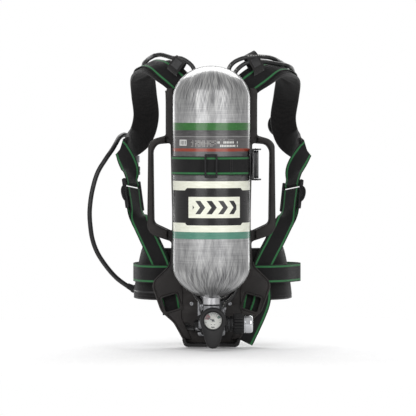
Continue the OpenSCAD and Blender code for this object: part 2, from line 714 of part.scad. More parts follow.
// A quick coupling with its mouth down: the body, and the sleeve that slides on it
coupling_len = 42;
demand_end = [-162, 223, 62];
module coupling_body() {
    color("silver") difference() {
        union() {
            cylinder(h = coupling_len, r = 9);
            translate([0, 0, coupling_len - 14]) cylinder(h = 14, r = 11);
        }
        translate([0, 0, -1]) cylinder(h = 21, r = 6);
    }
}
module demand_coupling() {
    translate(demand_end - [0, 0, coupling_len]) coupling_body();
}
module demand_sleeve() {
    color("gray") translate(demand_end - [0, 0, coupling_len - 1]) difference() {
        cylinder(h = 18, r = 12);
        translate([0, 0, -1]) cylinder(h = 20, r = 9 + run_fit);
    }
}
module rescue_coupling() {
    translate(rescue_end - [0, 0, coupling_len]) coupling_body();
}

// ---------------------------------------------------------------- chest console

module console_boot() {
    color("#1c1c1e") difference() {
        translate(console_c + [0, 12, 0]) rotate([90, 0, 0]) cylinder(h = 24, r = console_r);
        translate(console_c + [0, 13, 0]) rotate([90, 0, 0]) cylinder(h = 15, r = 20);
    }
}
module console_dial() {
    color("white") translate(console_c) rotate([90, 0, 0]) cylinder(h = 2, r = 20 - eps);
}
module console_needle() {
    color("black") translate(console_c + [0, 1, 0]) rotate([0, -30, 0]) {
        translate([0, 1.6, 0]) rotate([90, 0, 0]) cylinder(h = 1.6, r = 2.2);
        translate([-0.8, 0.4, -4]) cube([1.6, 0.8, 18]);
    }
}
module console_lens() {
    color([0.85, 0.92, 0.95, 0.4]) translate(console_c + [0, 11, 0]) rotate([90, 0, 0])
        cylinder(h = 2, r = 20 - eps);
}
module alarm_whistle() {
    color("silver") translate(whistle_end) rotate([40, 0, 0]) translate([0, 0, -30]) difference() {
        cylinder(h = 30, r = 7.5);
        translate([0, 0, -1]) cylinder(h = 16, r = 4);
    }
}

back_plate();
plate_bumper();
reducer_bracket();
rest_pads();
strap_bracket();
plate_screws();
cylinder_wrap();
cylinder_liner();
neck_seal();
valve_body();
burst_disc();
valve_spindle();
valve_handwheel();
handwheel_cap();
gauge_boot();
gauge_case();
gauge_dial();
gauge_needle();
gauge_lens();
coupling_wheel();
reducer_nipple();
reducer_body();
hose_ports();
cylinder_strap();
strap_slider();
cam_frame();
cam_pin();
cam_lever();
shoulder_pad(-1);  // shoulder_pad_left
shoulder_pad(1);  // shoulder_pad_right
shoulder_webbing(-1);  // shoulder_webbing_left
shoulder_webbing(1);  // shoulder_webbing_right
shoulder_anchors();
hose_keeper(-1);  // hose_keeper_left
hose_keeper(1);  // hose_keeper_right
strap_lock(-1);  // strap_lock_left
strap_lock(1);  // strap_lock_right
pull_strap(-1);  // pull_strap_left
pull_strap(1);  // pull_strap_right
hip_pad();
belt(-1);  // belt_left
belt(1);  // belt_right
belt_clamp();
buckle_socket();
buckle_tongue();
buckle_button();
supply_hose();
hose_gland();
demand_hose();
demand_coupling();
demand_sleeve();
rescue_hose();
rescue_coupling();
gauge_line();
whistle_line();
console_boot();
console_dial();
console_needle();
console_lens();
alarm_whistle();
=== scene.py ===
"""Looks of a self-contained breathing air pack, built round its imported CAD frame.

Lengths inside the builders are in millimetres and are scaled to metres as each mesh is made.
The frame is the CAD's: +Z up, the wearer on the +Y side, origin on the wearer's face of the plate.
"""
import json
import math
from functools import partialmethod

import bmesh
import bpy
import numpy as np
from mathutils import Matrix, Vector

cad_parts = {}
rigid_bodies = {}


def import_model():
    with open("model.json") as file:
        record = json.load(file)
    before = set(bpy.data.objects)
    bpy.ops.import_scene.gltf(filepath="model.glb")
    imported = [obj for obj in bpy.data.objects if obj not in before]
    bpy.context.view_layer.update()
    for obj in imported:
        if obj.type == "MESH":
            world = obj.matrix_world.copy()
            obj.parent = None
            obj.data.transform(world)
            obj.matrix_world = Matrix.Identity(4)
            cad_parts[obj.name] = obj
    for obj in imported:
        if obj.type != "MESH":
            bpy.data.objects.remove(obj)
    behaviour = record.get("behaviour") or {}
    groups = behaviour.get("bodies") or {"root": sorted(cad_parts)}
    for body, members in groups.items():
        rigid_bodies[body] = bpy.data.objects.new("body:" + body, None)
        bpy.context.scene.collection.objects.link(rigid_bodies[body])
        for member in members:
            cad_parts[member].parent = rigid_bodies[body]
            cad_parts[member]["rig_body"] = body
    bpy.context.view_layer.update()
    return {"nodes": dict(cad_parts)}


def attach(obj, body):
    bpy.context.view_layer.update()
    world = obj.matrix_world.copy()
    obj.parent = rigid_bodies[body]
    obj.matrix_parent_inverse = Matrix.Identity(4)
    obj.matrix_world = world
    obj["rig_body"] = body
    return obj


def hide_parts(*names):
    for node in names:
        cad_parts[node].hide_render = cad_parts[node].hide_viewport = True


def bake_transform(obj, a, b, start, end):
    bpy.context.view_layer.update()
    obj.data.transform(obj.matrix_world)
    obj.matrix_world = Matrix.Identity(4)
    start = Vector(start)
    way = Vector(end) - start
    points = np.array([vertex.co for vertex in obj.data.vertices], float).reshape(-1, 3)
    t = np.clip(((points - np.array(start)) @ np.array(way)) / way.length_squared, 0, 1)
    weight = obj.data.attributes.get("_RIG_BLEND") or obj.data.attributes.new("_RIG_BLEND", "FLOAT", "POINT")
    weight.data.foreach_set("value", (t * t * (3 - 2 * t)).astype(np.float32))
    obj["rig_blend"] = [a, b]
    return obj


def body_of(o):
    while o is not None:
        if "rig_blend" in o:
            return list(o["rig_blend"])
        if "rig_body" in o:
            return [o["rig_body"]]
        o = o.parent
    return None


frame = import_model()
MM = 0.001
CYL_Y = -95.0
CYL_R = 78.5

# ---------------------------------------------------------------- camera

VIEW_X, VIEW_Z = -0.007, -0.0406
CAM_DIST = 8.0
FIELD = 0.8445
camera_data = bpy.data.cameras.new("camera")
camera = bpy.data.objects.new("camera", camera_data)
bpy.context.scene.collection.objects.link(camera)
camera.location = (VIEW_X, CYL_Y * MM - CAM_DIST, 0.166)
aim = Vector((VIEW_X, CYL_Y * MM, VIEW_Z)) - camera.location
camera.rotation_euler = aim.to_track_quat("-Z", "Y").to_euler()
camera_data.sensor_width = 36
camera_data.lens = 36 * aim.length / FIELD
camera_data.clip_end = 30
bpy.context.scene.camera = camera

# ---------------------------------------------------------------- paths and strips


def unit(v):
    return v / np.linalg.norm(v)


def smooth(q, n):
    """n steps along a smooth curve through each pair of the stations q."""
    q = np.array(q, float)
    out, last = [], len(q) - 1
    for i in range(last):
        a, b, c, d = q[max(i - 1, 0)], q[i], q[i + 1], q[min(i + 2, last)]
        for k in range(n):
            t = k / n
            out.append(0.5 * (2 * b + (c - a) * t + (2 * a - 5 * b + 4 * c - d) * t * t
                              + (3 * b - a - 3 * c + d) * t ** 3))
    out.append(q[last])
    return np.array(out)


def headings(p):
    t = np.empty_like(p)
    t[1:-1] = p[2:] - p[:-2]
    t[0], t[-1] = p[1] - p[0], p[-1] - p[-2]
    return t / np.linalg.norm(t, axis=1)[:, None]


class Strip:
    """Stations x, y, z and a width direction, with their heading, across and outward directions."""

    def __init__(self, q):
        q = np.array(q, float)
        self.q, self.p = q, q[:, :3]
        self.t = headings(self.p)
        w = q[:, 3:6] - (q[:, 3:6] * self.t).sum(1)[:, None] * self.t
        self.w = w / np.linalg.norm(w, axis=1)[:, None]
        self.n = np.cross(self.t, self.w)
        steps = np.linalg.norm(np.diff(self.p, axis=0), axis=1)
        self.s = np.concatenate([[0], np.cumsum(steps)])

    def at(self, i, shift, lift):
        return self.p[i] + shift * self.w[i] + lift * self.n[i]

    def lifted(self, shift, lift, first, last):
        return [np.concatenate([self.at(i, shift, lift), self.w[i]]) for i in range(first, last + 1)]


def side_dirs(p, start=(0, 0.3, 1)):
    t = headings(p)
    v, out = np.array(start, float), []
    for h in t:
        v = unit(v - v.dot(h) * h)
        out.append(v)
    return t, np.array(out)


# ---------------------------------------------------------------- meshes


def make(name, verts, faces, material, body="pack", strip=None, angle=38, slot=None, nodes=()):
    """A mesh piece from points in millimetres, shaded smooth up to an edge angle."""
    mesh = bpy.data.meshes.new(name)
    mesh.from_pydata([tuple(v) for v in np.array(verts, float) * MM], [], [tuple(f) for f in faces])
    mesh.validate()
    if strip is not None:
        layer = mesh.attributes.new("strip", "FLOAT_VECTOR", "POINT")
        layer.data.foreach_set("vector", (np.array(strip, float) * MM).astype(np.float32).ravel())
    return finish_piece(name, mesh, material, body, angle, nodes)


def finish_piece(name, mesh, material, body, angle=38, nodes=()):
    mesh.materials.append(material)
    bm = bmesh.new()
    bm.from_mesh(mesh)
    bmesh.ops.recalc_face_normals(bm, faces=bm.faces)
    bm.to_mesh(mesh)
    bm.free()
    mesh.shade_smooth()
    mesh.set_sharp_from_angle(angle=math.radians(angle))
    piece = bpy.data.objects.new(name, mesh)
    bpy.context.scene.collection.objects.link(piece)
    if body:
        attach(piece, body)
    if nodes:
        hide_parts(*nodes)
    return piece


def loft(rings, caps=True):
    """Points and faces of a skin over rings of equal point counts."""
    n, m = len(rings[0]), len(rings)
    faces = []
    for i in range(m - 1):
        a, b = i * n, (i + 1) * n
        faces += [(b + k, b + (k + 1) % n, a + (k + 1) % n, a + k) for k in range(n)]
    if caps:
        faces += [tuple(range(n)), tuple(range(m * n - 1, (m - 1) * n - 1, -1))]
    return np.concatenate([np.array(r, float) for r in rings]), faces


def join_parts(parts):
    """One point list and face list from several (points, faces[, strip]) parts."""
    verts, faces, strips, base = [], [], [], 0
    for part in parts:
        verts.append(np.array(part[0], float))
        faces += [tuple(i + base for i in f) for f in part[1]]
        strips.append(np.array(part[2], float) if len(part) > 2 else np.zeros((len(part[0]), 3)))
        base += len(part[0])
    return np.concatenate(verts), faces, np.concatenate(strips)


def joined(parts):
    """The points and faces of several parts."""
    return join_parts(parts)[:2]


def on_side(s, points):
    """Points with the X of side s, from the right-hand side's."""
    return np.array(points, float) * [s, 1, 1]


def strip_piece(name, s, part, key, slot="webbing", **more):
    """A strap or hose on side s, with the marks across and along it that its material reads."""
    verts, faces, marks = part
    return make(name, on_side(s, verts), faces, M[key], strip=marks, slot=slot, **more)


def flat_profile(w, t, r=0.5, n=9):
    """Cross-section of a flat strip with rounded edges, as [across, out]."""
    x = np.linspace(w / 2 - r * 1.6, -w / 2 + r * 1.6, n)
    edge = [(w / 2 - r * 0.5, t / 2 - r * 0.25), (w / 2, 0), (w / 2 - r * 0.5, -t / 2 + r * 0.25)]
    return ([(a, t / 2) for a in x] + [(-a, b) for a, b in edge]
            + [(a, -t / 2) for a in x[::-1]] + [(a, -b) for a, b in edge])


def ribbon_part(strip, w, t, r=0.5, n=9):
    outline = flat_profile(w, t, r, n)
    rings = [[strip.at(i, a, b) for a, b in outline] for i in range(len(strip.p))]
    return *loft(rings), [(a, s, b) for s in strip.s for a, b in outline]


def tube_part(p, r, sides=20, start=(0, 0.3, 1)):
    """A round tube; r is one radius or one for each point."""
    p = np.array(p, float)
    t, s = side_dirs(p, start)
    radius = np.full(len(p), float(r)) if np.ndim(r) == 0 else np.array(r, float)
    a = 2 * math.pi * np.arange(sides) / sides
    length = np.concatenate([[0], np.cumsum(np.linalg.norm(np.diff(p, axis=0), axis=1))])
    rings, marks = [], []
    for i in range(len(p)):
        u = np.cross(t[i], s[i])
        rings.append(p[i] + radius[i] * (np.outer(np.cos(a), s[i]) + np.outer(np.sin(a), u)))
        marks += [(1000 * k / sides, length[i], radius[i]) for k in range(sides)]
    return *loft(rings), marks


def lathe_part(profile, centre, axis="z", sides=64, lobes=0, depth=0.0, sharp=1.0):
    """A turned solid from [radius, height] pairs; lobes and depth scallop its rim."""
    a = 2 * math.pi * np.arange(sides) / sides
    wave = np.abs(np.cos(a * lobes / 2)) ** sharp if lobes else np.zeros(sides)
    rings = []
    for r, h, *share in profile:
        cut = depth * (share[0] if share else 0.0)
        rr = np.maximum(r - cut * (1 - wave), 0.01)
        c, s, z = rr * np.cos(a), rr * np.sin(a), np.full(sides, float(h))
        rings.append(np.stack({"z": (c, s, z), "x": (z, c, s), "y": (s, z, c)}[axis], axis=1)
                     + np.array(centre, float))
    return loft(rings)


def rounded(p, n=8):
    """A polygon [x, z, corner size] with its corners rounded, none past the middle of a side."""
    out = []
    for i, (x, z, size) in enumerate(p):
        o = np.array([x, z], float)
        before = np.array(p[i - 1][:2], float) - o
        after = np.array(p[(i + 1) % len(p)][:2], float) - o
        r = min(size, 0.48 * np.linalg.norm(before), 0.48 * np.linalg.norm(after))
        if r == 0:
            out.append(o)
            continue
        for k in range(n + 1):
            t = k / n
            out.append(o + r * ((1 - t) ** 2 * unit(before) + t * t * unit(after)))
    return np.array(out)


def both_halves(p):
    half = rounded(p)
    return np.concatenate([half, half[::-1] * [-1, 1]])


def slab_part(name, loops, y0, y1, bevel, segments=3):
    """A bevelled slab in X and Z between two depths; the first loop is its rim, the rest holes."""
    data = bpy.data.curves.new(name, "CURVE")
    data.dimensions = "2D"
    data.fill_mode = "BOTH"
    data.extrude = ((y1 - y0) / 2 - bevel) * MM
    data.bevel_depth = bevel * MM
    data.bevel_resolution = segments
    data.offset = -bevel * MM
    for loop in loops:
        spline = data.splines.new("POLY")
        spline.points.add(len(loop) - 1)
        spline.points.foreach_set("co", np.array([(x * MM, z * MM, 0, 1) for x, z in loop]).ravel())
        spline.use_cyclic_u = True
    holder = bpy.data.objects.new(name + ".draft", data)
    bpy.context.scene.collection.objects.link(holder)
    bpy.context.view_layer.update()
    mesh = bpy.data.meshes.new_from_object(holder.evaluated_get(bpy.context.evaluated_depsgraph_get()))
    bpy.data.objects.remove(holder)
    bpy.data.curves.remove(data)
    mesh.transform(Matrix.Translation((0, (y0 + y1) / 2 * MM, 0)) @ Matrix.Rotation(math.pi / 2, 4, "X"))
    bm = bmesh.new()
    bm.from_mesh(mesh)
    bmesh.ops.remove_doubles(bm, verts=bm.verts, dist=1e-5)
    bm.to_mesh(mesh)
    bm.free()
    return mesh_part(mesh)


def mesh_part(mesh):
    """A Blender mesh in metres as a part in millimetres."""
    verts = np.array([v.co[:] for v in mesh.vertices]) / MM
    return verts, [tuple(f.vertices) for f in mesh.polygons]


def box_part(low, high, r, turn=None):
    """A box with rounded edges; turn is an optional matrix in millimetres."""
    bm = bmesh.new()
    bmesh.ops.create_cube(bm, size=1)
    low, high = np.array(low, float), np.array(high, float)
    for v in bm.verts:
        v.co = Vector((low + high) / 2 + (high - low) * np.array(v.co[:]))
    bmesh.ops.bevel(bm, geom=bm.edges[:], offset=r, segments=3, profile=0.5, affect="EDGES")
    if turn is not None:
        bmesh.ops.transform(bm, matrix=turn, verts=bm.verts)
    bm.verts.index_update()
    part = np.array([v.co[:] for v in bm.verts]), [tuple(v.index for v in f.verts) for f in bm.faces]
    bm.free()
    return part


REFINE_FROM, REFINE_SMOOTH = math.radians(30), 50


def refine(node, name, material, bevel, segments=2):
    """A copy of a CAD node's mesh with its edges rounded, standing for that node."""
    source = frame["nodes"][node]
    mesh = source.data.copy()
    mesh.materials.clear()
    bm = bmesh.new()
    bm.from_mesh(mesh)
    bmesh.ops.remove_doubles(bm, verts=bm.verts, dist=2e-5)
    bmesh.ops.dissolve_limit(bm, angle_limit=math.radians(1), verts=bm.verts, edges=bm.edges)
    sharp = [e for e in bm.edges if len(e.link_faces) == 2 and e.calc_face_angle(0) > REFINE_FROM]
    bmesh.ops.bevel(bm, geom=sharp, offset=bevel * MM, segments=segments, profile=0.5,
                    affect="EDGES", clamp_overlap=True)
    bmesh.ops.triangulate(bm, faces=[f for f in bm.faces if len(f.verts) > 4])
    bm.to_mesh(mesh)
    bm.free()
    for layer in list(mesh.attributes):
        if layer.name == "custom_normal":
            mesh.attributes.remove(layer)
    return finish_piece(name, mesh, material, body_of(source)[0], REFINE_SMOOTH, [node])


def stitches(p, normals, length=3.2, space=1.6, r=0.32):
    """Thread stitches along the points p, as one part."""
    p, normals = np.array(p, float), np.array(normals, float)
    d = np.concatenate([[0], np.cumsum(np.linalg.norm(np.diff(p, axis=0), axis=1))])
    parts, s = [], space
    while s + length < d[-1]:
        ends = [np.array([np.interp(x, d, p[:, k]) for k in range(3)]) for x in (s, s + length)]
        n = unit(np.array([np.interp(s, d, normals[:, k]) for k in range(3)]))
        a, b = ends
        path = [a - n * r * 1.2, a + (b - a) * 0.15 + n * r * 0.7, b - (b - a) * 0.15 + n * r * 0.7,
                b - n * r * 1.2]
        parts.append(tube_part(path, r, 5, start=n + [0.01, 0.02, 0.03])[:2])
        s += length + space
    return join_parts(parts)


# ---------------------------------------------------------------- materials


def srgb(r, g, b):
    """An 8-bit display colour as a linear one."""
    return tuple((v / 255 / 12.92 if v / 255 <= 0.04045 else ((v / 255 + 0.055) / 1.055) ** 2.4)
                 for v in (r, g, b)) + (1.0,)


class Shader:
    """A Principled material and short calls for wiring its nodes."""

    def __init__(self, name, **values):
        self.material = bpy.data.materials.new(name)
        self.material.use_nodes = True
        self.tree = self.material.node_tree
        self.bsdf = self.tree.nodes["Principled BSDF"]
        self.set(**values)

    def node(self, kind, **settings):
        made = self.tree.nodes.new("ShaderNode" + kind)
        for key, value in settings.items():
            setattr(made, key, value)
        return made

    def plug(self, socket, value):
        if isinstance(value, bpy.types.NodeSocket):
            self.tree.links.new(value, socket)
        else:
            socket.default_value = value

    def math(self, operation, a, b=None, c=None):
        made = self.node("Math", operation=operation)
        for socket, value in zip(made.inputs, (a, b, c)):
            if value is not None:
                self.plug(socket, value)
        return made.outputs[0]

    def within(self, x, low, high):
        return self.mul(self.above(x, low), self.below(x, high))

    def every(self, x, pitch, share):
        """A mask that is on for the first share of each pitch along x."""
        return self.below(self.fract(self.mul(x, 1 / pitch)), share)

    def split(self, vector):
        made = self.node("SeparateXYZ")
        self.plug(made.inputs[0], vector)
        return made.outputs

    def vector(self, x, y, z):
        made = self.node("CombineXYZ")
        for socket, value in zip(made.inputs, (x, y, z)):
            self.plug(socket, value)
        return made.outputs[0]

    def place(self):
        return self.node("TexCoord").outputs["Object"]

    def strip(self):
        return self.node("Attribute", attribute_name="strip").outputs["Vector"]

    def scaled(self, vector, by):
        made = self.node("VectorMath", operation="MULTIPLY")
        self.plug(made.inputs[0], vector)
        made.inputs[1].default_value = by
        return made.outputs[0]

    def noise(self, vector, scale, detail=3.0, rough=0.5, distortion=0.0):
        made = self.node("TexNoise")
        for key, value in (("Vector", vector), ("Scale", scale), ("Detail", detail), ("Roughness", rough),
                           ("Distortion", distortion)):
            self.plug(made.inputs[key], value)
        return made.outputs[0]

    def ramp(self, value, *stops):
        made = self.node("ValToRGB")
        self.plug(made.inputs[0], value)
        elements = made.color_ramp.elements
        while len(elements) < len(stops):
            elements.new(0.5)
        for element, (place, colour) in zip(elements, stops):
            element.position = place
            element.color = colour
        return made.outputs[0]

    def cloud(self, scale, detail, low, high, a=0.0, b=1.0):
        """Noise in the object's own space, its range low to high spread over a to b."""
        return self.grey(self.noise(self.place(), scale, detail), low, high, a, b)

    def grey(self, value, low, high, a=0.0, b=1.0):
        made = self.node("MapRange")
        for socket, v in zip(made.inputs, (value, low, high, a, b)):
            self.plug(socket, v)
        return made.outputs[0]

    def mix(self, share, a, b):
        made = self.node("Mix", data_type="RGBA")
        self.plug(made.inputs[0], share)
        self.plug(made.inputs[6], a)
        self.plug(made.inputs[7], b)
        return made.outputs[2]

    def bump(self, height, strength, distance, under=None):
        made = self.node("Bump")
        self.plug(made.inputs["Height"], height)
        made.inputs["Strength"].default_value = strength
        made.inputs["Distance"].default_value = distance
        if under is not None:
            self.plug(made.inputs["Normal"], under)
        return made.outputs[0]

    def set(self, **sockets):
        """Plug values into the shader's sockets, named with _ for each space."""
        for key, value in sockets.items():
            self.plug(self.bsdf.inputs[key.replace("_", " ")], value)


for call, operation in {"mul": "MULTIPLY", "add": "ADD", "sub": "SUBTRACT", "above": "GREATER_THAN",
                        "below": "LESS_THAN", "fract": "FRACT", "sine": "SINE", "absolute": "ABSOLUTE",
                        "floor": "FLOOR", "most": "MAXIMUM"}.items():
    setattr(Shader, call, partialmethod(Shader.math, operation))


def worn_edges(s):
    """A mask that is high on outward edges, from Pointiness, broken up by noise."""
    ridge = s.grey(s.node("NewGeometry").outputs["Pointiness"], 0.52, 0.59)
    return s.mul(ridge, s.cloud(140, 4, 0.42, 0.62))


def moulded(name, colour, light, rough=0.48, grain=900, depth=0.35):
    """Moulded plastic or rubber: fine spark-eroded grain, uneven sheen and paler worn edges."""
    s = Shader(name, Specular_IOR_Level=0.32)
    base = s.mix(s.cloud(28, 4, 0.3, 0.7), colour, light)
    pale = tuple(min(1, c * 2.6 + 0.01) for c in light[:3]) + (1,)
    s.set(Base_Color=s.mix(s.mul(worn_edges(s), 0.5), base, pale))
    s.set(Roughness=s.cloud(70, 5, 0.3, 0.7, rough - 0.07, rough + 0.1))
    s.set(Normal=s.bump(s.noise(s.place(), grain, 2, 0.6), depth, 0.0003))
    return s.material


def metal(name, colour, rough=0.22, grain=(900, 900, 40), scratches=0.12):
    """Plated, turned or cast metal with fine directional marks and slight staining."""
    s = Shader(name, Metallic=1.0)
    dull = tuple(c * 0.72 for c in colour[:3]) + (1,)
    s.set(Base_Color=s.mix(s.cloud(45, 5, 0.35, 0.75, 0.0, 0.6), colour, dull))
    lines = s.noise(s.scaled(s.place(), grain), 1.0, 3, 0.6)
    s.set(Roughness=s.grey(lines, 0.3, 0.7, max(0.03, rough - scratches / 2), rough + scratches))
    s.set(Normal=s.bump(lines, 0.25, 0.00012))
    return s.material


STRIPE = (0.0132, 0.0170)


def webbing():
    """Black woven webbing with a green stripe near each edge and a herringbone rib."""
    s = Shader("webbing_weave", Specular_IOR_Level=0.3, Sheen_Weight=0.12, Sheen_Roughness=0.4)
    across, along = s.split(s.strip())[:2]
    stripe = s.within(s.absolute(across), *STRIPE)
    zig = s.math("PINGPONG", s.mul(across, 1 / 0.0045), 1.0)
    ribs = s.sine(s.add(s.mul(along, 2 * math.pi / 0.0016), s.mul(zig, 5.0)))
    threads = s.sine(s.mul(across, 2 * math.pi / 0.0011))
    weave = s.add(s.mul(ribs, 0.6), s.mul(threads, 0.4))
    fuzz = s.noise(s.place(), 1100, 3)
    tone = s.grey(s.add(weave, s.mul(fuzz, 1.4)), -0.6, 1.8)
    wear = s.cloud(60, 4, 0.4, 0.75, 0.0, 0.5)
    black = s.mix(tone, srgb(5, 5, 6), srgb(23, 22, 23))
    black = s.mix(wear, black, srgb(28, 26, 27))
    green = s.mix(tone, srgb(24, 76, 42), srgb(62, 130, 80))
    s.set(Base_Color=s.mix(stripe, black, green))
    s.set(Roughness=s.grey(tone, 0.0, 1.0, 0.86, 0.68))
    s.set(Normal=s.bump(weave, 0.55, 0.0004, s.bump(fuzz, 0.25, 0.0003)))
    return s.material


def pad_cloth(name, dark, pale, cell=1 / 0.0032, depth=0.6, sheen=0.15):
    """Padded cover: a knitted spacer mesh of small cells with creases; the colour follows the creases as painted
    shade, darker in their hollows and paler on their crests.
    """
    s = Shader(name, Specular_IOR_Level=0.25, Sheen_Weight=sheen, Sheen_Roughness=0.5)
    cells = s.node("TexVoronoi", feature="DISTANCE_TO_EDGE")
    s.plug(cells.inputs["Vector"], s.place())
    cells.inputs["Scale"].default_value = cell
    cells.inputs["Randomness"].default_value = 0.35
    knit = s.grey(cells.outputs["Distance"], 0.02, 0.3)
    # The cover's creases: a bump, and through tone also painted shade in the colour
    crease_and_painted_shade = s.noise(s.place(), 38, 4, 0.55, 0.6)
    tone = s.add(s.mul(knit, 0.5), s.mul(crease_and_painted_shade, 0.5))
    # Painted shade: the knit pattern's colour is darkened in the crease hollows and lightened on their crests
    s.set(Base_Color=s.mix(s.grey(tone, 0.2, 0.85), dark, pale))
    s.set(Roughness=s.cloud(1500, 2, 0.3, 0.7, 0.78, 0.95))
    s.set(Normal=s.bump(knit, depth, 0.0006, s.bump(crease_and_painted_shade, 0.35, 0.0025)))
    return s.material


def binding_cloth():
    """Narrow woven tape over the pads' edges."""
    s = Shader("binding_tape", Specular_IOR_Level=0.3, Sheen_Weight=0.2)
    ribs = s.sine(s.mul(s.split(s.strip())[1], 2 * math.pi / 0.0014))
    fuzz = s.noise(s.place(), 900, 3)
    s.set(Base_Color=s.mix(s.grey(s.add(ribs, fuzz), -0.8, 1.8), srgb(13, 13, 13), srgb(44, 42, 42)))
    s.set(Roughness=s.grey(fuzz, 0.3, 0.7, 0.7, 0.88))
    s.set(Normal=s.bump(ribs, 0.5, 0.0003))
    return s.material


def hose_rubber():
    """Black hose rubber with a wrapped-cloth texture and a row of short pale dashes."""
    s = Shader("hose_skin", Specular_IOR_Level=0.45)
    around, along = s.split(s.strip())[:2]
    wrap = s.sine(s.add(s.mul(along, 2 * math.pi / 0.0028), s.mul(around, 4 * math.pi)))
    fine = s.noise(s.place(), 500, 3)
    dash = s.mul(s.within(around, 0.36, 0.43), s.mul(s.every(along, 0.0052, 0.6), s.every(along, 0.078, 0.5)))
    base = s.mix(s.cloud(55, 4, 0.35, 0.7), srgb(19, 19, 20), srgb(37, 36, 37))
    s.set(Base_Color=s.mix(s.mul(dash, 0.75), base, srgb(176, 176, 172)))
    s.set(Roughness=s.grey(fine, 0.3, 0.7, 0.32, 0.5))
    s.set(Normal=s.bump(wrap, 0.12, 0.0002, s.bump(fine, 0.2, 0.0002)))
    return s.material


FIBRE_LEAN = 0.22


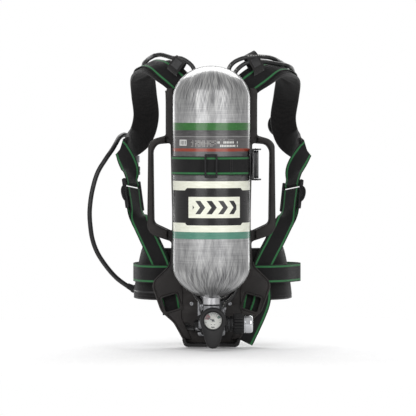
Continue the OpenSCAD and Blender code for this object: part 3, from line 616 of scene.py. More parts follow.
def cylinder_skin():
    """Clear-coated silver fibre winding with printed bands, all placed by height and angle."""
    s = Shader("fibre_winding", Coat_Roughness=0.06, Coat_IOR=1.5)
    x, y, z = s.split(s.place())
    arc = s.mul(s.math("ARCTAN2", x, s.sub(CYL_Y * MM, y)), CYL_R * MM)
    lean = s.mul(z, FIBRE_LEAN)

    def fibres(across, pitch, along, seed, detail, rough):
        """Noise stretched along the winding, by its scale across and along it."""
        return s.noise(s.vector(s.mul(across, pitch), s.mul(z, along), seed), 1.0, detail, rough)

    hoop = fibres(arc, 9.0, 620.0, 3.0, 4, 0.6)
    left = fibres(s.add(arc, lean), 470.0, 26.0, 7.0, 5, 0.62)
    right = fibres(s.sub(arc, lean), 300.0, 20.0, 1.0, 5, 0.62)
    blotch = fibres(arc, 95.0, 30.0, 4.0, 4, 0.55)
    haze = fibres(arc, 60.0, 260.0, 2.0, 4, 0.6)
    helix = s.add(s.mul(left, 0.5), s.mul(right, 0.5))
    dome = s.grey(s.absolute(s.sub(z, 0.008)), 0.13, 0.185)
    body = s.add(s.mul(hoop, 0.36), s.add(s.mul(helix, 0.3), s.mul(blotch, 0.34)))
    ends = s.add(s.mul(helix, 0.82), s.mul(blotch, 0.18))
    value = s.add(s.mul(body, s.sub(1.0, dome)), s.mul(ends, dome))
    fibre_body = s.ramp(value, (0.3, srgb(104, 104, 105)), (0.46, srgb(152, 152, 153)),
                        (0.56, srgb(184, 184, 184)), (0.7, srgb(216, 216, 215)))
    fibre_ends = s.ramp(value, (0.36, srgb(60, 60, 62)), (0.47, srgb(122, 122, 123)),
                        (0.56, srgb(168, 168, 167)), (0.68, srgb(212, 212, 210)))
    colour = s.mix(dome, fibre_body, fibre_ends)

    def printed(mask, paint, share=1.0):
        nonlocal colour
        colour = s.mix(s.mul(mask, share), colour, paint)
        return mask

    def rows(low, high, pitch, height, left_edge, right_edge, cell):
        """Rows of short bars that stand for small print, with no letters in them."""
        up = s.sub(z, low)
        pick = s.node("TexWhiteNoise", noise_dimensions="3D")
        s.plug(pick.inputs["Vector"], s.vector(s.floor(s.mul(arc, 1 / cell)), s.floor(s.mul(up, 1 / pitch)), 5.0))
        shown = s.mul(s.above(pick.outputs["Value"], 0.26), s.every(arc, cell, 0.7))
        return s.mul(s.mul(s.every(up, pitch, height / pitch), shown), patch(low, high, left_edge, right_edge))

    def patch(low, high, left_edge, right_edge):
        return s.mul(s.within(z, low, high), s.within(arc, left_edge, right_edge))

    band_green = printed(s.within(z, 0.1177, 0.1326), s.mix(haze, srgb(26, 84, 30), srgb(58, 118, 56)))
    dark = s.ramp(s.grey(z, 0.015, 0.1177), (0.0, srgb(58, 56, 57)), (0.55, srgb(68, 65, 66)),
                  (0.84, srgb(62, 59, 60)), (0.94, srgb(34, 32, 32)), (1.0, srgb(20, 18, 19)))
    dark = s.mix(s.grey(haze, 0.35, 0.65, 0.0, 0.26), dark, srgb(118, 116, 118))
    label = printed(s.within(z, 0.0150, 0.1177), dark, 0.93)
    printed(s.within(z, 0.1042, 0.1050), srgb(196, 196, 194), 0.6)
    printed(s.within(z, 0.0748, 0.0810), s.mix(haze, srgb(126, 42, 26), srgb(154, 72, 52)))
    printed(rows(0.0850, 0.0980, 0.0026, 0.0013, -0.044, 0.010, 0.0031), srgb(196, 194, 190), 0.65)
    printed(rows(0.0840, 0.0985, 0.0070, 0.0042, 0.012, 0.058, 0.0035), srgb(226, 226, 222), 0.85)
    printed(patch(0.0866, 0.0985, -0.0755, -0.0545), srgb(214, 214, 212))
    printed(s.mul(patch(0.0884, 0.0967, -0.0735, -0.0565), s.every(arc, 0.0042, 0.5)), srgb(70, 70, 72))
    cream = s.mix(s.grey(haze, 0.3, 0.7), srgb(226, 227, 208), srgb(244, 245, 232))
    panel = printed(s.within(z, -0.0875, 0.0150), cream)
    slope = s.grey(s.absolute(s.sub(arc, 0.0065)), 0.0600, 0.0655, 0.0, 0.0048)
    black = s.mul(s.below(z, s.sub(0.0012, slope)), s.above(z, s.add(-0.0740, slope)))
    printed(black, s.mix(s.grey(haze, 0.3, 0.7, 0.0, 0.6), srgb(6, 5, 6), srgb(32, 30, 32)))
    printed(patch(-0.0590, -0.0165, -0.0495, 0.0640), cream)
    tall = s.absolute(s.sub(z, -0.0378))
    chevrons = s.every(s.add(arc, s.mul(tall, 0.75)), 0.0235, 0.46)
    printed(s.mul(s.mul(chevrons, s.below(tall, 0.0135)), s.within(arc, -0.0395, 0.0545)), srgb(44, 43, 45))
    teal = printed(s.within(z, -0.1015, -0.0875), s.mix(haze, srgb(58, 116, 98), srgb(98, 148, 130)))
    print_all = s.most(s.most(band_green, label), s.most(panel, teal))
    s.set(Base_Color=colour)
    s.set(Metallic=s.grey(print_all, 0.0, 1.0, 0.55, 0.0), Coat_Weight=s.grey(print_all, 0.0, 1.0, 0.85, 0.18))
    s.set(Roughness=s.sub(s.grey(value, 0.3, 0.7, 0.46, 0.34), s.mul(print_all, 0.15)))
    s.set(Normal=s.bump(value, 0.35, 0.0007))
    return s.material


def dial_face():
    """Printed matt white dial sheet with faint ageing."""
    s = Shader("dial_print", Specular_IOR_Level=0.3)
    s.set(Base_Color=s.mix(s.cloud(90, 4, 0.35, 0.7), srgb(250, 249, 242), srgb(236, 234, 224)))
    s.set(Roughness=s.cloud(700, 2, 0.3, 0.7, 0.5, 0.62))
    return s.material


def ink(name, colour):
    s = Shader(name, Specular_IOR_Level=0.3)
    pale = tuple(min(1, c * 1.5 + 0.01) for c in colour[:3]) + (1,)
    s.set(Base_Color=s.mix(s.cloud(600, 3, 0.4, 0.7, 0.0, 0.6), colour, pale))
    s.set(Roughness=s.cloud(300, 3, 0.3, 0.7, 0.42, 0.6))
    return s.material


def lens():
    s = Shader("gauge_window", Roughness=0.04, IOR=1.49, Alpha=0.07, Coat_Weight=0.25, Coat_Roughness=0.03)
    s.set(Base_Color=s.mix(s.cloud(60, 3, 0.4, 0.7), srgb(238, 244, 246), srgb(222, 232, 236)))
    return s.material


M = {
    "plate": moulded("plate_plastic", srgb(30, 27, 26), srgb(43, 39, 38), 0.48),
    "black": moulded("black_plastic_fine", srgb(12, 12, 13), srgb(23, 22, 23), 0.38, 1200, 0.2),
    "boot": moulded("boot_rubber", srgb(17, 17, 18), srgb(29, 28, 29), 0.54, 1100, 0.3),
    "rubber": moulded("saddle_rubber", srgb(11, 11, 12), srgb(23, 22, 23), 0.62, 700, 0.4),
    "buckle": moulded("buckle_nylon", srgb(14, 14, 16), srgb(26, 25, 27), 0.36, 1000, 0.25),
    "red": moulded("button_red", srgb(168, 22, 20), srgb(196, 38, 30), 0.34, 900, 0.15),
    "chrome": metal("chrome_plate", srgb(228, 229, 232), 0.1, (400, 400, 400), 0.05),
    "steel": metal("plated_steel", srgb(158, 159, 162), 0.3),
    "alloy": metal("cast_alloy_grey", srgb(122, 122, 124), 0.46, (300, 300, 300), 0.16),
    "aluminium": metal("neck_aluminium", srgb(206, 206, 208), 0.3, (60, 60, 2400), 0.14),
    "brass": metal("turned_brass", srgb(158, 122, 62), 0.3),
    "webbing": webbing(),
    "pad": pad_cloth("pad_spacer_mesh", srgb(10, 9, 10), srgb(29, 27, 27)),
    "hip": pad_cloth("hip_cover_cloth", srgb(9, 8, 9), srgb(26, 24, 24), 1 / 0.0022, 0.4, 0.12),
    "binding": binding_cloth(),
    "hose": hose_rubber(),
    "cylinder": cylinder_skin(),
    "dial": dial_face(),
    "ink_black": ink("ink_black", srgb(18, 18, 19)),
    "ink_red": ink("ink_red", srgb(140, 16, 26)),
    "ink_green": ink("ink_green", srgb(30, 84, 52)),
    "thread": ink("thread_grey", srgb(58, 57, 57)),
    "lens": lens(),
}


def paint(node, key):
    """A finished material on a CAD node that is shown as it is."""
    for slot_ in frame["nodes"][node].material_slots:
        slot_.material = M[key]


# ---------------------------------------------------------------- free demand hose

HOSE_R = 5.0
hip_z, hip_t, hip_w = -180, 12, 108


def hip_half(out):
    return [
        [0, 19, hip_z, 0, 0, 1], [60, 21, hip_z, 0, 0, 1], [97, 27, hip_z, -0.05, 0, 1],
        [123 + out / 2, 40, hip_z, -0.1, 0.05, 1], [142 + out * 0.8, 68, hip_z, -0.15, 0.03, 1],
        [150 + out, 110, hip_z, -0.17, 0, 1], [148 + out, 150, hip_z, -0.17, 0, 1],
    ]


hip_stations = [[-x, y, z, -a, b, c] for x, y, z, a, b, c in reversed(hip_half(0))] + hip_half(6)[1:]
hip = Strip(smooth(hip_stations, 4))
CHANNEL = -38
gland_at = hip.at(1, CHANNEL, hip_t / 2)
GLAND_LEAN = math.radians(64)
gland_dir = np.array([-math.sin(GLAND_LEAN), 0, math.cos(GLAND_LEAN)])
demand_start = gland_at + 17.1 * gland_dir
demand_route = [list(gland_at + 14 * gland_dir), list(demand_start + 3 * gland_dir)] + [
    [-198, 140, -193], [-217, 127, -171], [-236, 116, -142], [-247, 108, -113], [-252, 104, -81],
    [-253, 102, -49], [-248, 102, -11], [-237, 106, 27], [-220, 115, 56], [-207, 127, 75],
    [-199, 142, 89], [-192, 160, 101], [-182, 184, 106], [-171, 206, 98], [-164, 219, 80],
    [-162, 223, 62],
]
demand_line = smooth(demand_route, 8)
demand_hose = strip_piece("demand_hose_rubber", 1, tube_part(demand_line, HOSE_R - 0.1, 24), "hose",
                          "hose_rubber", nodes=["demand_hose"])

# ---------------------------------------------------------------- cylinder

NECK_R, LOWER_H, DOME_H, TOP_Z, BOTTOM_Z = 17.5, 60, 65, 183, -163


def low_z(r):
    return BOTTOM_Z - LOWER_H * max(0.0, 1 - (r / CYL_R) ** 2) ** 0.6


def top_z(r):
    return TOP_Z + DOME_H * math.sqrt(max(0.0, 1 - (r / CYL_R) ** 2))


steps = [math.radians(90 * k / 30) for k in range(31)]
first = math.asin(NECK_R / CYL_R)
lower = [first + (math.pi / 2 - first) * k / 30 for k in range(31)]
shell = [(CYL_R * math.sin(a), low_z(CYL_R * math.sin(a))) for a in lower]
shell += [(CYL_R, z) for z in np.linspace(BOTTOM_Z, TOP_Z, 24)[1:-1]]
shell += [(CYL_R * math.cos(a), top_z(CYL_R * math.cos(a))) for a in steps[:-1]] + [(0.05, TOP_Z + DOME_H)]
inner = [(NECK_R, low_z(NECK_R) + 2.5)]
make("cylinder_winding", *lathe_part(inner + shell, (0, CYL_Y, 0), "z", 144), M["cylinder"],
     slot="composite", nodes=["cylinder_wrap"])
collar = [(17.6, -223), (18.6, -222.6), (19.6, -221), (20.4, -218.6), (20.4, -216)]
make("neck_resin_ring", *lathe_part(collar, (0, CYL_Y, 0), "z", 96), M["aluminium"], slot="liner_aluminium")
paint("cylinder_liner", "aluminium")
paint("neck_seal", "rubber")

# ---------------------------------------------------------------- valve

VALVE_Z = -276
paint("valve_body", "steel")
paint("burst_disc", "black")
paint("valve_spindle", "steel")
ring = lambda r, x0, x1, e=0.9: [(r - e, x0), (r, x0 + e), (r, x1 - e), (r - e, x1)]
stem = [(9, 12.5), (13.4, 12.5)] + ring(14.2, 13.5, 20) + ring(13.2, 20.4, 27) + ring(16.4, 27.4, 33.6, 1.2)
stem += ring(13.6, 34, 36.6) + ring(16.0, 37, 42.6, 1.2) + [(9, 43)]
make("valve_bonnet", *lathe_part(stem, (0, CYL_Y, VALVE_Z), "x", 96), M["black"], slot="black_plastic")
wheel = [(4.2, 43.5, 0), (15, 43.5, 0), (17.5, 44.2, 0.2), (20.2, 46.2, 0.8), (21.2, 48.4, 1), (21.3, 51, 1),
         (21.3, 58.5, 1), (21.2, 61, 1), (20.4, 63.4, 0.8), (19.2, 64.9, 0.3), (18.4, 65.5, 0), (4.2, 65.5, 0)]
make("handwheel_grip", *lathe_part(wheel, (0, CYL_Y, VALVE_Z), "x", 216, 18, 2.4, 0.55), M["rubber"],
     body="handwheel", slot="rubber", nodes=["valve_handwheel"], angle=60)
cap = [(0.05, 65.7), (17.8, 65.7), (18.6, 66.4), (18.6, 67.4), (17.9, 68), (17.9, 69), (18.6, 69.7), (18.6, 77.6)]
cap += [(13.6 + 5 * math.cos(a), 79 + 5 * math.sin(a)) for a in np.linspace(0, math.pi / 2, 9)]
cap += [(12.6, 84), (11.8, 83.7), (11.2, 82.9), (10.8, 82.2), (0.05, 82.2)]
make("handwheel_chrome_cap", *lathe_part(cap, (0, CYL_Y, VALVE_Z), "x", 128), M["chrome"],
     body="handwheel", slot="chrome", nodes=["handwheel_cap"], angle=30)

# ---------------------------------------------------------------- gauge in its boot

GAUGE = np.array([3.0, -267.0])
BIG, SMALL, DROP = 26.5, 14.5, 42
BOOT_FRONT, BOOT_BACK, CASE_R = -152, -124, 18.9


def boot_reach(theta, shrink):
    """How far the teardrop outline is from the gauge's middle in direction theta."""
    d = np.array([math.cos(theta), math.sin(theta)])
    best = 0.0
    for t in np.linspace(0, 1, 41):
        r = BIG + (SMALL - BIG) * t - shrink
        c = np.array([0, -DROP * t])
        along = d.dot(c)
        gap = along * along - c.dot(c) + r * r
        if gap >= 0:
            best = max(best, along + math.sqrt(gap))
    return best


angles = np.linspace(0, 2 * math.pi, 120, endpoint=False)
reach = {k: np.array([boot_reach(a, k) for a in angles]) for k in (0.0, 0.7, 1.9, 3.6, 5.4)}


def boot_ring(r, y):
    r = np.broadcast_to(r, angles.shape)
    return np.stack([GAUGE[0] + r * np.cos(angles), np.full(len(angles), float(y)),
                     GAUGE[1] + r * np.sin(angles)], axis=1)


rim = CASE_R + 1.4
boot = [boot_ring(r, y) for r, y in (
    (CASE_R, -127.2), (reach[1.9], BOOT_BACK), (reach[0.7], -124.8), (reach[0.0], -126.6), (reach[0.0], -138),
    (reach[0.0], -146.8), (reach[0.7], -149.2), (reach[1.9], -151), (reach[3.6], -151.9),
    (np.maximum(reach[5.4], rim + 0.4), BOOT_FRONT), (rim, BOOT_FRONT), (rim - 0.8, -151.5),
    (CASE_R + 0.05, -150.6), (CASE_R, -140))]
make("gauge_boot_cover", *loft(boot, caps=False), M["boot"], slot="rubber", nodes=["gauge_boot"], angle=60)
case = [(8, -127.2), (18.85, -127.2), (18.85, -150.6), (18.5, -151.3), (17.9, -151.3), (17.5, -150.4),
        (17.5, -131.2), (17.4, -130.9), (8, -130.9)]
make("gauge_case_ring", *lathe_part(case, (GAUGE[0], 0, GAUGE[1]), "y", 96), M["black"],
     slot="steel", nodes=["gauge_case"], angle=30)


def disc_part(centre, r, y0, y1, sides=96):
    return lathe_part([(0.05, y0), (r, y0), (r, y1), (0.05, y1)], (centre[0], 0, centre[1]), "y", sides)


def sector_part(centre, y, r0, r1, a0, a1, thick=0.12, face=-1, n=24):
    """A printed arc on a dial, from angle a0 to a1 clockwise from the top as it is read."""
    rings = []
    for k in range(n + 1):
        a = math.radians(a0 + (a1 - a0) * k / n)
        d = np.array([-face * math.sin(a), 0, math.cos(a)])
        o = np.array([centre[0], y, centre[1]])
        up = np.array([0, face * thick, 0])
        rings.append([o + r0 * d, o + r1 * d, o + r1 * d + up, o + r0 * d + up])
    return loft(rings)


def digits(name, centre, y, r, marks, size, face):
    """Plain numerals round a dial."""
    made = []
    for text, a in marks:
        a = math.radians(a)
        data = bpy.data.curves.new(name, "FONT")
        data.body, data.size, data.extrude = text, size * MM, 0.00005
        data.align_x = data.align_y = "CENTER"
        holder = bpy.data.objects.new(name + ".draft", data)
        bpy.context.scene.collection.objects.link(holder)
        bpy.context.view_layer.update()
        graph = bpy.context.evaluated_depsgraph_get()
        mesh = bpy.data.meshes.new_from_object(holder.evaluated_get(graph))
        bpy.data.objects.remove(holder)
        turn = Matrix.Rotation(math.pi / 2, 4, "X")
        if face > 0:
            turn = Matrix.Rotation(math.pi, 4, "Z") @ turn
        place = (centre[0] - face * r * math.sin(a), y, centre[1] + r * math.cos(a))
        mesh.transform(Matrix.Translation(Vector(place) * MM) @ turn)
        made.append(mesh_part(mesh))
    make(name, *joined(made), M["ink_black"], slot="pointer_black")


def dial(name, centre, y, r, face, node, red, green, marks, numerals):
    """A dial plate with its printed scale: ticks, a red arc, a green block and numerals."""
    low, high = sorted((y, y - face * 2))
    make(name + "_plate", *disc_part(centre, r, low, high), M["dial"], slot="dial_face", nodes=[node])
    ticks = []
    for k, a in enumerate(marks):
        outer, half = (0.93, 2.4) if k % 4 == 0 else (0.87, 1.2)
        ticks.append(sector_part(centre, y, r * 0.8, r * outer, a - half, a + half, face=face, n=2))
    ticks.append(sector_part(centre, y, r * 0.945, r * 0.965, marks[0] - 2, marks[-1] + 2, face=face))
    for k in (-1, 1):
        ticks.append(sector_part(centre, y, r * 0.5, r * 0.56, 180 + k * 20 - 9, 180 + k * 20 + 9, face=face, n=6))
    ticks.append(sector_part(centre, y, r * 0.74, r * 0.86, 166, 194, face=face, n=8))
    make(name + "_scale", *joined(ticks), M["ink_black"], slot="pointer_black")
    make(name + "_red_arc", *sector_part(centre, y, r * 0.46, r * 0.93, *red, thick=0.08, face=face),
         M["ink_red"], slot="pointer_black")
    make(name + "_green_arc", *sector_part(centre, y, r * 0.6, r * 0.93, *green, thick=0.08, face=face),
         M["ink_green"], slot="pointer_black")
    digits(name + "_numerals", centre, y + face * 0.06, r * 0.66, numerals, r * 0.2, face)


HUB_R, DIAL_Y = 2.4, -133
dial("gauge", GAUGE, DIAL_Y, 17.4, -1, "gauge_dial", (-82, -34), (50, 72),
     list(np.linspace(-108, 108, 25)), [("1", -14), ("2", 12), ("3", 37)])
make("gauge_pointer_hub", *disc_part(GAUGE, HUB_R, DIAL_Y - 3.4, DIAL_Y - 1.2, 32), M["ink_black"],
     body="gauge_pointer", slot="pointer_black")
paint("gauge_needle", "ink_black")
paint("gauge_lens", "lens")

# ---------------------------------------------------------------- reducer and coupling

paint("reducer_nipple", "brass")
RED_Z = VALVE_Z + 1
knob = [(11.2, -70, 0), (24, -70, 0), (27, -69.4, 0.3), (29.6, -68, 0.8), (30.8, -65.6, 1), (31, -62, 1),
        (31, -58, 1), (30.8, -54.6, 1), (29.6, -52, 0.8), (27, -50.6, 0.3), (24, -50.1, 0), (11.2, -50.1, 0)]
make("coupling_handwheel", *lathe_part(knob, (0, 0, RED_Z), "y", 200, 10, 4.0, 0.7), M["rubber"],
     body="coupling", slot="rubber", nodes=["coupling_wheel"], angle=60)
refine("reducer_body", "reducer_housing", M["alloy"], 1.4)
refine("reducer_bracket", "reducer_carrier", M["steel"], 0.6)
refine("hose_ports", "hose_unions", M["alloy"], 0.5)
refine("plate_screws", "plate_fixings", M["steel"], 0.35)

# ---------------------------------------------------------------- back plate

PLATE_T, HANDLE_T = 5, 14
plate_half = [
    [94, 206, 15], [94, 106, 4], [119, 99, 8], [130, 88, 10], [132, -86, 10],
    [121, -99, 8], [82, -112, 6], [85, -163, 8], [119, -193, 8], [122, -205, 8], [104, -256, 8],
    [78, -279, 8], [53, -324, 4],
]
handle_gap = [[84, 90, 5], [110, 88, 8], [118.5, 76, 8], [116.5, -73, 8], [80, -90, 5]]
handle_half = [
    [94, 104, 0], [119, 97.5, 8], [128.5, 87, 9], [130.5, -85.5, 9], [120, -97.5, 8], [90, -107, 0],
    [90, -88, 0], [118, -73.7, 8], [120, 76.5, 8], [110.8, 89.5, 8], [94, 91.3, 0],
]
rail_half = [[92.6, 204, 14], [92.6, 104.6, 3], [82, 92, 3], [79, -86, 2], [79, -110, 1], [77.5, -110, 0.5],
             [77.5, 204, 4]]
wing_half = [[86, -168, 6], [113, -194, 6], [116, -205, 6], [99.5, -253, 6], [75, -274.5, 6], [52, -313, 3],
             [40, -313, 3], [62, -268, 8], [58, -214, 10], [70, -176, 8]]
bead_half = [[82.6, -118, 4], [86, -162, 8], [117, -191.5, 8], [119.5, -204.5, 8], [102, -254.5, 8],
             [76.5, -277, 8], [53, -318, 3]]
screws = [[-40.6, -239.5], [37.6, -239.5], [-20, 150], [20, 150], [-20, -140], [20, -140]]


WINDOW_TURN, WINDOW_X, WINDOW_Z = math.radians(17), 82.6, -238


def window(s, half_w, half_h, corner):
    """The opening for a strap anchor in the lower wing, turned with the wing's edge."""
    c, d = math.cos(WINDOW_TURN), math.sin(WINDOW_TURN)
    base = rounded([[-half_w, half_h, corner], [half_w, half_h, corner], [half_w, -half_h, corner],
                    [-half_w, -half_h, corner]])
    turned = np.stack([base[:, 0] * c + base[:, 1] * d, -base[:, 0] * d + base[:, 1] * c], axis=1)
    return [(s * (x + WINDOW_X), z + WINDOW_Z) for x, z in turned]


def circle(x, z, r, n=32):
    return [(x + r * math.cos(2 * math.pi * k / n), z + r * math.sin(2 * math.pi * k / n)) for k in range(n)]


def mirrored(loop, s):
    return [(s * x, z) for x, z in loop]


holes = [mirrored(rounded(handle_gap), s) for s in (1, -1)] + [window(s, 15.5, 15, 4) for s in (1, -1)]
holes += [circle(x, z, 2.6, 20) for x, z in screws] + [circle(-51, -287, 8)]
parts = [slab_part("plate", [both_halves(plate_half)] + holes, -PLATE_T, 0, 1.6)]
for s in (1, -1):
    parts += [slab_part("handle", [mirrored(rounded(handle_half), s)], -HANDLE_T, -1.5, 3.6, 4),
              slab_part("rail", [mirrored(rounded(rail_half), s)], -11.5, -3, 3.2, 4),
              slab_part("lip", [window(s, 19.5, 19, 6.5), window(s, 15.6, 15.1, 4)], -7.6, -4, 1.1),
              slab_part("wing", [mirrored(rounded(wing_half), s), window(s, 19.7, 19.2, 6.5)], -7.2, -4, 1.2, 4)]
make("plate_shell", *joined(parts), M["plate"], slot="black_plastic", nodes=["back_plate"], angle=42)
beads = [tube_part([(s * x, -5.2, z) for x, z in rounded(bead_half)[9:]], 1.7, 12)[:2] for s in (1, -1)]
make("plate_edge_beads", *joined(beads), M["plate"], slot="black_plastic")
make("plate_hose_grommet", *disc_part((-51, -287), 8, -4.4, -0.6, 48), M["rubber"], slot="rubber")
refine("plate_bumper", "plate_base_bumper", M["boot"], 1.6, segments=3)
refine("rest_pads", "cylinder_saddles", M["rubber"], 1.2)
refine("strap_bracket", "strap_saddle", M["buckle"], 1.2)
refine("shoulder_anchors", "strap_anchor_plates", M["steel"], 0.5)

# ---------------------------------------------------------------- cylinder strap

BAND_Z, STRAP_R, WEB_T, WEB_W = 46, 78.9, 2, 38


def web_part(strip):
    return ribbon_part(strip, WEB_W, WEB_T - 0.1)


def ring_strip(r, a0, a1, n):
    return Strip([[r * math.cos(a), CYL_Y + r * math.sin(a), BAND_Z, 0, 0, 1]
                  for a in np.radians(np.linspace(a0, a1, n))])


loop = ring_strip(STRAP_R + 1, -90, 269.5, 145)
tail = ring_strip(STRAP_R + WEB_T + 1.4, -104, -28, 36)
strip_piece("cylinder_strap_web", 1, join_parts([web_part(loop), web_part(tail)]), "webbing",
            nodes=["cylinder_strap"])
sewn, SEWN_R = [], STRAP_R + 4.5
for a in (-62.5, -60):
    x, y = SEWN_R * math.cos(math.radians(a)), CYL_Y + SEWN_R * math.sin(math.radians(a))
    p = np.array([[x, y, BAND_Z + z] for z in np.linspace(-17, 17, 12)])
    sewn.append(stitches(p, [unit(q - [0, CYL_Y, q[2]]) for q in p], 2.6, 1.2, 0.35)[:2])
make("cylinder_strap_stitching", *joined(sewn), M["thread"], slot="webbing")

slider = rounded([[-14, BAND_Z + 24, 2.5], [12, BAND_Z + 24, 2.5], [12, BAND_Z - 24, 2.5], [-14, BAND_Z - 24, 2.5]])
window_in = [(-10.3, BAND_Z + 20.3), (8.3, BAND_Z + 20.3), (8.3, BAND_Z - 20.3), (-10.3, BAND_Z - 20.3)]
make("strap_slider_frame", *slab_part("slider", [slider, window_in], -182.6, -179.4, 0.9), M["buckle"],
     slot="buckle_plastic", nodes=["strap_slider"])
refine("cam_frame", "cam_buckle_frame", M["buckle"], 0.7)
refine("cam_lever", "cam_buckle_lever", M["buckle"], 0.8)
paint("cam_pin", "chrome")

# ---------------------------------------------------------------- shoulder pads

PAD_W, PAD_T = 54, 14
pad_stations = {
    -1: [[44, 13, 192, -0.6, 0, 0.8], [82, 15, 229, -0.5, 0, 0.87], [115, 38, 246, -0.75, 0.45, 0.4],
         [135, 82, 244, -0.9, 0.1, 0.42], [143, 129.5, 227.5, -0.93, 0, 0.37], [141, 170.5, 190.5, -0.97, 0, 0.2],
         [137, 192, 145, -1, 0, 0.05], [147, 194, 106, -0.9, 0.2, -0.4], [168, 164, 84, -0.3, 0.4, -0.86],
         [181, 120, 77, 0.3, 0.1, -0.95]],
    1: [[48, 13, 188, -0.6, 0, 0.8], [88, 15, 221, -0.45, 0, 0.89], [127, 38, 239, -0.75, 0.45, 0.4],
        [151, 82, 237, -0.9, 0.1, 0.42], [160, 131, 221, -0.93, 0, 0.37], [157, 173, 186, -0.97, 0, 0.2],
        [151, 192, 140, -1, 0, 0.05], [159, 194, 103, -0.9, 0.2, -0.4], [178, 164, 82, -0.3, 0.4, -0.86],
        [190, 120, 75, 0.3, 0.1, -0.95]],
}
SIDE = {-1: "left", 1: "right"}
pad_coarse = {s: Strip(smooth(pad_stations[s], 4)) for s in SIDE}
WEB_LIFT = PAD_T / 2 + WEB_T / 2 + 0.2
FRONT_ROWS = 19


CLOTH_FRAMES, CLOTH_PRESSURE, CLOTH_STIFFNESS, SWELL_LIMIT = 20, 4, 20, 5


def puffed(name, strip, side, w, t, crown, cover, node, pinned_every):
    """A padded strip: a closed skin sewn along both edges and blown up by a cloth simulation.

    Returns its points by station, on the right-hand side."""
    u = np.radians(np.linspace(90, -90, FRONT_ROWS))
    half = [(w / 2 * math.sin(a), (t / 2 - crown) * max(0.0, math.cos(a)) ** 0.55) for a in u]
    outline = half + [(a, -b) for a, b in half[-2:0:-1]]
    n, m = len(outline), len(strip.p)
    taper = [min(1.0, 0.3 + 0.7 * min(i, m - 1 - i) / 4) for i in range(m)]
    verts, faces = loft([[strip.at(i, a, b * taper[i]) for a, b in outline] for i in range(m)], caps=False)
    for base in (0, (m - 1) * n):
        faces += [(base + k, base + k + 1, base + n - 2 - k, base + n - 1 - k) for k in range(1, n // 2 - 1)]
        faces += [(base, base + 1, base + n - 1), (base + n // 2 - 1, base + n // 2, base + n // 2 + 1)]
    verts = on_side(side, verts)
    piece = make(name, verts, faces, cover, body=None, angle=70)
    pins = piece.vertex_groups.new(name="sewn")
    seams = [i * n + k for i in range(m) for k in (0, n // 2)]
    seams += [i * n + k for i in (0, m - 1) for k in range(n)]
    channels = [i for i in range(pinned_every, m - pinned_every // 2, pinned_every)] if pinned_every else []
    pins.add(seams, 1.0, "REPLACE")
    pins.add([i * n + k for i in channels for k in range(n)], 0.86, "REPLACE")
    cloth = piece.modifiers.new("Cloth", "CLOTH")
    cloth.settings.vertex_group_mass = "sewn"
    cloth.settings.use_pressure = True
    cloth.settings.uniform_pressure_force = CLOTH_PRESSURE
    cloth.settings.effector_weights.gravity = 0
    cloth.settings.quality = 5
    cloth.settings.mass = 0.3
    cloth.settings.tension_stiffness = cloth.settings.compression_stiffness = CLOTH_STIFFNESS
    cloth.point_cache.frame_start, cloth.point_cache.frame_end = 1, CLOTH_FRAMES
    for f in range(1, CLOTH_FRAMES + 1):
        bpy.context.scene.frame_set(f)
    blown = piece.evaluated_get(bpy.context.evaluated_depsgraph_get()).to_mesh()
    moved = np.array([v.co[:] for v in blown.vertices]) / MM
    piece.evaluated_get(bpy.context.evaluated_depsgraph_get()).to_mesh_clear()
    piece.modifiers.clear()
    step = moved - verts
    size = np.linalg.norm(step, axis=1)[:, None]
    verts = verts + step * np.minimum(1.0, SWELL_LIMIT / np.maximum(size, 1e-6))
    bpy.context.scene.frame_set(1)
    free = verts * [side, 1, 1]
    for i in range(m):
        for k in range(n):
            j = i * n + k
            offset = free[j] - strip.p[i]
            lift, shift = offset.dot(strip.n[i]), offset.dot(strip.w[i])
            roof = t / 2 + (0.05 if abs(shift) < WEB_W / 2 + 1 else 0.9)
            free[j] += (min(max(lift, -t / 2), roof) - lift) * strip.n[i]
            free[j] += (min(max(shift, -w / 2), w / 2) - shift) * strip.w[i]
    verts = on_side(side, free)
    piece.data.vertices.foreach_set("co", (verts * MM).astype(np.float32).ravel())
    piece.vertex_groups.clear()
    piece.data.update()
    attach(piece, "pack")
    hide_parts(node)
    return free.reshape(m, n, 3)


def tape_part(points, normals, w, t):
    """Edge tape: a small rounded bar along the points."""
    return ribbon_part(Strip(np.concatenate([points, normals], axis=1)), w, t, 1.6, 5)


def pad_trim(pad, side, s, strip, grid, half, edge_in, edge, end_in, end, points, rows):
    """Binding tape round a pad's rim, and thread along the rows of its grid."""
    tapes, threads = [], []
    for shift in (half - edge_in, edge_in - half):
        line = np.array([strip.at(i, shift, 0) for i in range(len(strip.p))])
        tapes.append(tape_part(line, strip.n, *edge))
    for i in (1, len(strip.p) - 2):
        line = np.array([strip.at(i, x, 0) for x in np.linspace(end_in - half, half - end_in, points)])
        tapes.append(tape_part(line, np.tile(strip.n[i], (points, 1)), *end))
    for k in rows:
        out = strip.n if k < FRONT_ROWS else -strip.n
        threads.append(stitches(grid[:, k] + out * 0.1, out, 3.4, 1.8, 0.3)[:2])
    strip_piece(pad + "_binding" + side, s, join_parts(tapes), "binding")
    v, f = joined(threads)
    make(pad + "_stitching" + side, on_side(s, v), f, M["thread"], slot="webbing")


for s, side in SIDE.items():
    fine = Strip(smooth(pad_stations[s], 11))
    grid = puffed("shoulder_pad_cover_" + side, fine, s, PAD_W - 1.6, PAD_T, 1.1, M["pad"],
                  "shoulder_pad_" + side, 0)
    pad_trim("shoulder_pad", "_" + side, s, fine, grid, PAD_W / 2, 1.9, (6.4, 3.6), 2, (8.5, 5.2), 14, (3, 15))

# ---------------------------------------------------------------- locks, webbing and pull straps

